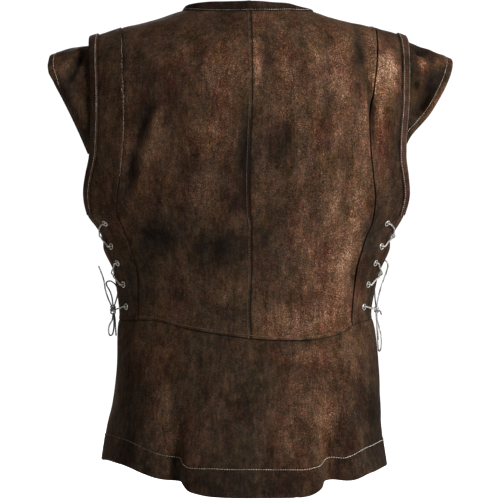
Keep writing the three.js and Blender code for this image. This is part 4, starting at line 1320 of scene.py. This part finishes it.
SKIRT_STAINED_AND_SHADED = {
    "back": [
        # as the wear tables, but darker: stains, and the first two are painted shadow deep in the
        # hollow flutes at the hem
        (118, -620, 10, 50, 0.08), (-97, -630, 7, 36, 0.10), (-164, -580, 14, 70, 0.10),
        (184, -540, 18, 90, 0.18), (0, -600, 60, 60, 0.06), (-70, -500, 60, 40, 0.03),
        (60, -458, 40, 12, 0.12), (20, -520, 26, 60, 0.07), (-182, -470, 14, 60, 0.08),
        (166, -585, 16, 40, 0.10),
    ],
    "front": [(0, -600, 60, 60, 0.08), (-110, -600, 14, 60, 0.1), (100, -600, 14, 60, 0.1)],
}
SKIRT_LONG = WAIST["back"]["z"][0] - HEM["back"]["z"][0]
TURN_UP = 1 - HEM_TURN / SKIRT_LONG  # where the hem's inner layer starts
DOWN = np.r_[
    # the rows, as shares of the way from the waist to the hem
    ROLL / SKIRT_LONG, np.linspace(12, SKIRT_LONG * TURN_UP - 1.5, 46) / SKIRT_LONG,
    TURN_UP, TURN_UP + 0.006, np.linspace(TURN_UP + 0.02, 1 - ROLL[-1] / SKIRT_LONG, 9),
    1 - ROLL[-2::-1] / SKIRT_LONG,
]
AT_SIDE = SIDE - np.array([0, 0.004, 0.01, 0.018])
SKIRT_TURNS = np.r_[-AT_SIDE, np.linspace(0.026 - SIDE, SIDE - 0.026, 158), AT_SIDE[::-1]]
HIPS = (0, 0, -550)
skirts = {}


def skirt_form(half):
    """A skirt panel with its flutes, which open towards the hem."""
    down = DOWN[:, None]
    hem_x = across(SKIRT_TURNS, HEM["back"]["z"][0])
    z = waist(half, SKIRT_TURNS) * (1 - down) + read(HEM[half], "x", "z", hem_x) * down
    grid = body(half, SKIRT_TURNS, z - YOKE_Z)
    out = sum(size * near(hem_x - x, reach) for x, reach, size in FLUTES[half])
    out = out * np.maximum(0, np.cos(SKIRT_TURNS)) * down**2.4
    return trimmed(grid + unit(grid * (0.5, 1, 0)) * out[..., None])


for half in ("back", "front"):
    grid = skirt_form(half)
    left, right, from_waist, from_hem = runs(grid)
    lift = folds(grid, SKIRT_FOLDS[half]) + slack(grid)
    lift *= np.clip(np.minimum(left, right) / 25, 0, 1) * np.clip(from_waist / 22, 0, 1)
    turned = strip(from_hem, read(HEM_STITCHED, "x", "up", grid[..., 0]) + 1.5, 3)
    lift += -1.2 * near(from_waist, 3) + 0.7 * turned
    grid = grid + facing(grid, HIPS) * lift[..., None]
    thick = np.where(DOWN[:, None] > TURN_UP, 2 * LEATHER, LEATHER)
    x = grid[..., 0]
    # lighter towards the wearer's right and again at the far left, partly painted light
    wear_and_shade = 0.27 + 0.06 * np.clip((x + 30) / 170, 0, 1) + 0.05 * np.clip((-60 - x) / 60, 0, 1)
    wear_and_shade += patches(grid, SKIRT_WORN_AND_LIT[half]) - patches(grid, SKIRT_STAINED_AND_SHADED[half]) - 0.05 * turned
    # painted shade along the waist seam, under the body panel's lower edge
    seam = -0.7 * near(from_waist, 1.6) + 0.1 * near(from_hem, 0.8)
    skirts[half] = grid
    shell(
        f"skirt_{half}", grid, thick, [f"skirt_{half}"], wear_and_shade, seam,
        centre=HIPS,
    )

# ------------------------------------------------------------------ seam allowances
# Inside, the 8 mm that each seam takes up on either side is pressed open and glued flat, so no
# light comes through the seams. It is the same leather, pared to 1 mm.


ALLOWANCE_INSETS = [8, 5, 2.5, 0.8]


def allowance(name, one, other, key, on):
    """The pressed seam of two edges, which are matched by their place along one axis."""
    strips = []
    for grid, edge in (one, other):
        points, normals = along_edge(grid, edge, ALLOWANCE_INSETS)
        strips.append(points - normals * (LEATHER + 0.2))
    a, b = strips
    order = np.argsort(b[:, -1, key])
    at, have = a[:, -1, key], b[order, -1, key]
    b = [[np.interp(at, have, row[order, k]) for k in range(3)] for row in b.transpose(1, 0, 2)]
    outer = np.concatenate([a, np.array(b).transpose(2, 0, 1)[:, ::-1]], axis=1)
    shell(f"allowance_{name}", outer, 1.0, wear_and_shade=0.1)


for name, left, right in (
    ("middle", "back_left", "back_right"),
    ("left", "side_left", "back_left"),
    ("right", "back_right", "side_right"),
):
    allowance(name, (panels[left], "right"), (panels[right], "left"), 2, (left, right))
for name, grid in panels.items():
    if name != "neckband":
        half = "front" if name == "front" else "back"
        edges = (grid, "bottom"), (skirts[half], "bottom")
        allowance(f"waist_{name}", *edges, 0, (name, f"skirt_{half}"))

# ------------------------------------------------------------------ stitches and eyelets
# Topstitching in waxed linen thread, eight stitches to the inch, pulled down into the nap, and
# rolled eyelets of nickel-plated brass, set through the punched holes with their flange outside.


def growth(name, sizes, materials):
    """A new node group, the identifiers of its inputs, and what they give."""
    tree = bpy.data.node_groups.new(name, "GeometryNodeTree")
    new = tree.interface.new_socket
    new(name="Places", in_out="INPUT", socket_type="NodeSocketGeometry")
    ids = {}
    for kind, labels in (("Float", sizes), ("Material", materials)):
        for label in labels:
            socket = new(name=label, in_out="INPUT", socket_type=f"NodeSocket{kind}")
            ids[label] = socket.identifier
    new(name="Geometry", in_out="OUTPUT", socket_type="NodeSocketGeometry")
    return tree, ids, add(tree, "NodeGroupInput").outputs


def attribute(tree, name, kind):
    """A value that the mesh carries."""
    return first(tree, "GeometryNodeInputNamedAttribute", {"Name": name}, data_type=kind)


def made_real(tree, instances, material):
    """The instances as one smooth mesh, in a material."""
    real = first(tree, "GeometryNodeRealizeInstances", {"Geometry": instances})
    smooth = first(tree, "GeometryNodeSetShadeSmooth", {0: real})
    return first(tree, "GeometryNodeSetMaterial", {"Geometry": smooth, "Material": material})


def stitching():
    """Lays single stitches along edges; their out attribute is the way up from the leather."""
    sizes = "Pitch", "Stitch Length", "Thread"
    tree, ids, given = growth("topstitching", sizes, ["Material"])

    def uneven(low, high, seed):
        inputs = {"Min": low, "Max": high, "Seed": seed}
        return first(tree, "FunctionNodeRandomValue", inputs, data_type="FLOAT_VECTOR")

    def halved(value):
        return first(tree, "ShaderNodeMath", {0: value, 1: 0.5}, operation="MULTIPLY")

    line = first(tree, "GeometryNodeMeshToCurve", {"Mesh": given["Places"]})
    spacing = {"Curve": line, "Length": given["Pitch"]}
    spaced = first(tree, "GeometryNodeResampleCurve", spacing, mode="LENGTH")
    along = first(tree, "GeometryNodeInputTangent")
    laid = first(tree, "FunctionNodeAlignRotationToVector", {"Vector": along}, axis="X")
    up = {"Rotation": laid, "Vector": attribute(tree, "out", "FLOAT_VECTOR")}
    stood = first(tree, "FunctionNodeAlignRotationToVector", up, axis="Z", pivot_axis="X")
    askew = {"Rotation": stood, "Rotate By": uneven((0, 0, -0.12), (0, 0, 0.12), 4)}
    turned = first(tree, "FunctionNodeRotateRotation", askew, rotation_space="LOCAL")
    thick = halved(given["Thread"])
    size = {"X": halved(given["Stitch Length"]), "Y": thick, "Z": thick}
    size = first(tree, "ShaderNodeCombineXYZ", size)
    bead = first(tree, "GeometryNodeMeshUVSphere", {"Segments": 8, "Rings": 5, "Radius": 1.0})
    stitch = first(tree, "GeometryNodeTransform", {"Geometry": bead, "Scale": size})
    many = first(
        tree, "GeometryNodeInstanceOnPoints",
        {
            "Points": spaced, "Instance": stitch, "Rotation": turned,
            "Scale": uneven((0.85, 0.8, 0.8), (1.1, 1.15, 1.1), 9),
        },
    )
    add(tree, "NodeGroupOutput", {0: made_real(tree, many, given["Material"])})
    return tree, ids


def eyelets():
    """Stands a rolled metal eyelet on each point: a round flange, a barrel and an inner lip."""
    sizes = "Hole Radius", "Flange Radius", "Depth"
    tree, ids, given = growth("eyelets", sizes, ["Material", "Inside Material"])

    def calc(kind, a, b):
        return first(tree, "ShaderNodeMath", {0: a, 1: b}, operation=kind)

    def circle(points, radius):
        inputs = {"Resolution": points, "Radius": radius}
        return first(tree, "GeometryNodeCurvePrimitiveCircle", inputs)

    def moved(geometry, name, **sizes):
        inputs = {"Geometry": geometry, name: first(tree, "ShaderNodeCombineXYZ", sizes)}
        return first(tree, "GeometryNodeTransform", inputs)

    def hoop(radius, across_it, up, low):
        """A ring of oval section, at a height."""
        profile = moved(circle(8, 1.0), "Scale", X=across_it, Y=up, Z=1.0)
        sides = {"Curve": circle(28, radius), "Profile Curve": profile}
        return moved(first(tree, "GeometryNodeCurveToMesh", sides), "Translation", Z=low)

    hole, depth = given["Hole Radius"], given["Depth"]
    half = calc("MULTIPLY", calc("SUBTRACT", given["Flange Radius"], hole), 0.5)
    middle = calc("ADD", hole, half)
    below = calc("MULTIPLY", depth, -1.0)
    flange = hoop(middle, half, 0.00062, 0.0007)
    lip = hoop(middle, calc("MULTIPLY", half, 0.85), 0.0004, below)
    tall, low = calc("MULTIPLY", depth, 0.56), calc("MULTIPLY", below, 0.42)
    barrel = {"Geometry": hoop(calc("ADD", hole, 0.00022), 0.0002, tall, low)}
    barrel = first(
        tree, "GeometryNodeStoreNamedAttribute", {**barrel, "Name": "barrel", "Value": True},
        data_type="BOOLEAN", domain="FACE",
    )
    joined = add(tree, "GeometryNodeJoinGeometry")
    for part in (barrel, lip, flange):
        tree.links.new(part, joined.inputs[0])
    up = {"Vector": attribute(tree, "out", "FLOAT_VECTOR")}
    stood = first(tree, "FunctionNodeAlignRotationToVector", up, axis="Z")
    places = {"Points": given["Places"], "Instance": joined.outputs[0], "Rotation": stood}
    many = first(tree, "GeometryNodeInstanceOnPoints", places)
    inside = {
        "Geometry": made_real(tree, many, given["Material"]),
        "Selection": attribute(tree, "barrel", "BOOLEAN"), "Material": given["Inside Material"],
    }
    add(tree, "NodeGroupOutput", {0: first(tree, "GeometryNodeSetMaterial", inside)})
    return tree, ids


def grown(name, points, normals, edges, group, values):
    """A mesh that a node group makes from points and edges, then kept as a plain mesh."""
    mesh = bpy.data.meshes.new(name)
    mesh.from_pydata((np.asarray(points) / 1000).tolist(), edges, [])
    out = mesh.attributes.new("out", "FLOAT_VECTOR", "POINT")
    out.data.foreach_set("vector", np.asarray(normals).reshape(-1))
    piece = placed(name, mesh)
    tree, ids = group
    modifier = piece.modifiers.new(name, "NODES")
    modifier.node_group = tree
    for label, value in values.items():
        modifier[ids[label]] = value
    plain_mesh(piece)
    return piece


def linen_thread(name, clean, dirty):
    """Waxed linen thread: matt, and pale where it is clean. Dye and dirt took in spots about
    10 mm long."""
    material, tree, surface, place = blank_material(name)
    colour = toned(tree, noise(tree, place, 95, 3, 0.7), ((0.35, dirty), (0.62, clean)))
    look(tree, surface, Base_Color=colour, Roughness=0.8)
    return material


def plated_brass():
    """Nickel plate over brass, dulled with use: bright, with spots of grey grime about 2 mm
    across that are less smooth."""
    material, tree, surface, place = blank_material("worn_nickel_plate")
    grime = noise(tree, place, 420, 4)
    colour = toned(tree, grime, ((0.35, "#a9a196"), (0.6, "#f0ebe2")))
    rough = ranged(tree, grime, 0.3, 0.7, 0.55, 0.36)
    look(tree, surface, Base_Color=colour, Roughness=rough, Metallic=1.0)
    return material


def bare_brass():
    """Raw brass gone brown: the inside of a barrel, where the plate never reached."""
    material, tree, surface, place = blank_material("tarnished_brass")
    colour = toned(tree, noise(tree, place, 600, 3), ((0.3, "#120e0a"), (0.7, "#3a2e20")))
    look(tree, surface, Base_Color=colour, Metallic=0.6, Roughness=0.7)
    return material


STITCHING, EYELET_GROUP = stitching(), eyelets()
CLEAN_THREAD = linen_thread("new_linen_thread", "#e9e2d4", "#b8aa96")
PALE_THREAD = linen_thread("waxed_linen_thread", "#cdc2b2", "#8b7b69")
GREY_THREAD = linen_thread("soiled_linen_thread", "#a39b86", "#5d5546")
DYED_THREAD = linen_thread("dyed_linen_thread", "#6f5846", "#3a2a20")
EYELET = {
    "Hole Radius": 0.003, "Flange Radius": 0.0047, "Depth": 0.0034,
    "Material": plated_brass(), "Inside Material": bare_brass(),
}

for side, name in SIDE_NAME.items():
    points, normals = zip(*eyelet_places("back", side), *eyelet_places("front", side))
    rings = grown(f"eyelets_{name}_rings", points, normals, [], EYELET_GROUP, EYELET)
    nodes = [f"eyelet_{name}_{half}_{k}" for half in ("back", "front") for k in range(1, 6)]
    settled(rings, nodes)


def stitched(name, lines, thread=PALE_THREAD, thread_size=0.0007):
    """Topstitching along lines, each a row of points with the normals there."""
    points, normals, edges = [], [], []
    for line, out in lines:
        start = len(points)
        points += list(line + out * 0.25)
        normals += list(out)
        edges += [(k, k + 1) for k in range(start, len(points) - 1)]
    values = {"Pitch": 0.0032, "Stitch Length": 0.0027, "Thread": thread_size, "Material": thread}
    return settled(grown(f"{name}_stitches", points, normals, edges, STITCHING, values))


def line_in(grid, edge, inset, ends=0):
    """A line at one distance in from an edge, less some points at each end."""
    points, normals = along_edge(grid, edge, np.atleast_1d(inset))
    keep = slice(ends, len(points) - ends)
    return points[keep, 0], normals[keep, 0]


def stitched_round(name, line, out, clean_z, soiled):
    """Stitches round an armhole: clean over the shoulder, and soiled below a height."""
    clean = line[:, 2] > clean_z
    low = [~clean & (line[:, 1] * way > 0) for way in (-1, 1)]
    stitched(name, [(line[clean], out[clean])])
    stitched(f"{name}_low", [(line[here], out[here]) for here in low], soiled)


rows = neckband.transpose(1, 0, 2)
rows = np.concatenate([rows, rows[:1]])
line, out = along_edge(rows, "left", [2.8])[0][:, 0], unit(rows[:, 2] * (1, 1, 0))
dull = (line[:, 0] < 30) & (line[:, 1] < 0)
start = -np.argmax(dull)  # the row runs round, so it is turned to start at a change of thread
line, out, dull = (np.roll(values, start, axis=0) for values in (line, out, dull))
stitched("neckband_dull", [(line[dull], out[dull])], GREY_THREAD)
stitched("neckband", [(line[~dull], out[~dull])])
stitched("middle_seam", [line_in(panels["back_left"], "right", 3.8)], DYED_THREAD)
waist_rows = [line_in(panels[name], "bottom", 3.2) for name in ("back_left", "back_right")]
stitched("waist_seam", waist_rows, DYED_THREAD)
stitched_round("armhole_left", *line_in(bands[-1], "right", 2.0), -150, GREY_THREAD)
stitched("armhole_right", [line_in(bands[1], "right", 1.8)])
stitched("armhole_right_inner", [line_in(bands[1], "left", 2.0)], GREY_THREAD)
# The left seam's overlocked edge is frayed, and its loose thread stands up in little loops.
FRAYED = -44, -236  # from the top to the bottom
FRAY_LOOP = 5.2  # from one loop to the next
line, out = line_in(panels["back_left"], "left", 0.6)
z = np.linspace(*FRAYED, 700)
order = np.argsort(line[:, 2])
base, up = (
    np.stack([np.interp(z, line[order, 2], values[order, k]) for k in range(3)], axis=1)
    for values in (line, out)
)
phase = (z - FRAYED[0]) * 2 * math.pi / FRAY_LOOP
loose = 0.2 + 0.8 * near(z + 122, 34) + 0.12 * np.sin(z / 7)
base[:, 0] += loose * (1.5 * np.cos(phase) + 0.9 * np.sin(z / 3.1)) + 0.4
base[:, 2] += loose * 1.1 * np.sin(phase * 1.02)
base += up * (0.2 + 0.5 * loose + 0.5 * loose * np.sin(phase * 0.73))[:, None]
tube("frayed_seam_thread", base, 0.5, GREY_THREAD, sides=5)
stitched("cap_right", [line_in(caps[1], "right", 7.5, 3)])
stitched_round("cap_left", *line_in(caps[-1], "right", 7.5, 3), -108, DYED_THREAD)
HEM_THREADS = (
    # from and to, and the thread there: it is darker towards the wearer's left
    ("dull", -300, -118, DYED_THREAD), ("grey", -121, -40, GREY_THREAD),
    ("pale", -43, 84, PALE_THREAD), ("clean", 81, 300, CLEAN_THREAD),
)
for half in ("back", "front"):
    up = read(HEM_STITCHED, "x", "up", skirts[half][-1, :, 0])
    line, out = line_in(skirts[half], "top", up[:, None])
    for key, low, high, thread in HEM_THREADS:
        here = (line[:, 0] > low) & (line[:, 0] < high)
        stitched(f"hem_{half}_{key}", [(line[here], out[here])], thread, thread_size=0.0008)

# ------------------------------------------------------------------ stage
# White paper that glows to the camera, and three soft round lights: a strong key from the
# wearer's right, a weak fill from the left, and one in front of the wearer that rims the edges.

REACH, FLOOR_Z = 30, -0.95  # metres
corners = [(x, y, FLOOR_Z) for x, y in ((-1, -1), (1, -1), (1, 1), (-1, 1))]
floor = bpy.data.meshes.new("floor")
floor.from_pydata([(x * REACH, y * REACH, z) for x, y, z in corners], [], [(0, 1, 2, 3)])
placed("floor", floor)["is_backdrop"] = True
paper, tree, surface, place = blank_material("white_studio_paper")
seen = first(tree, "ShaderNodeLightPath")  # by the camera itself
look(
    tree, surface, Base_Color=linear("#cfcfcf"), Roughness=0.9, Emission_Color=(1, 1, 1, 1),
    Emission_Strength=seen,
)
floor.materials.append(paper)

world = bpy.data.worlds.new("studio")
world.use_nodes = True
bpy.context.scene.world = world
tree = world.node_tree
tree.nodes.clear()
strength = ranged(tree, first(tree, "ShaderNodeLightPath"), 0, 1, 0.18, 1.1)
glow = first(tree, "ShaderNodeBackground", {"Color": (1, 1, 1, 1), "Strength": strength})
add(tree, "ShaderNodeOutputWorld", {"Surface": glow})

AIM = Vector((0, 0, -0.3))  # metres
for name, place, size, power in (
    # metres and watts
    ("key", (2.2, -1.9, 0.7), 1.0, 118),
    ("fill", (-1.8, -2.6, 0.2), 2.0, 12),
    ("back_light", (-0.6, 2.6, 0.9), 1.6, 75),
):
    light = bpy.data.lights.new(name, "AREA")
    light.shape, light.size, light.energy = "DISK", size, power
    lamp = placed(name, light)
    lamp.location = place
    lamp.rotation_euler = (AIM - Vector(place)).to_track_quat("-Z", "Y").to_euler()

bpy.context.scene.view_settings.view_transform = "Standard"

# ------------------------------------------------------------------ finish

low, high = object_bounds()
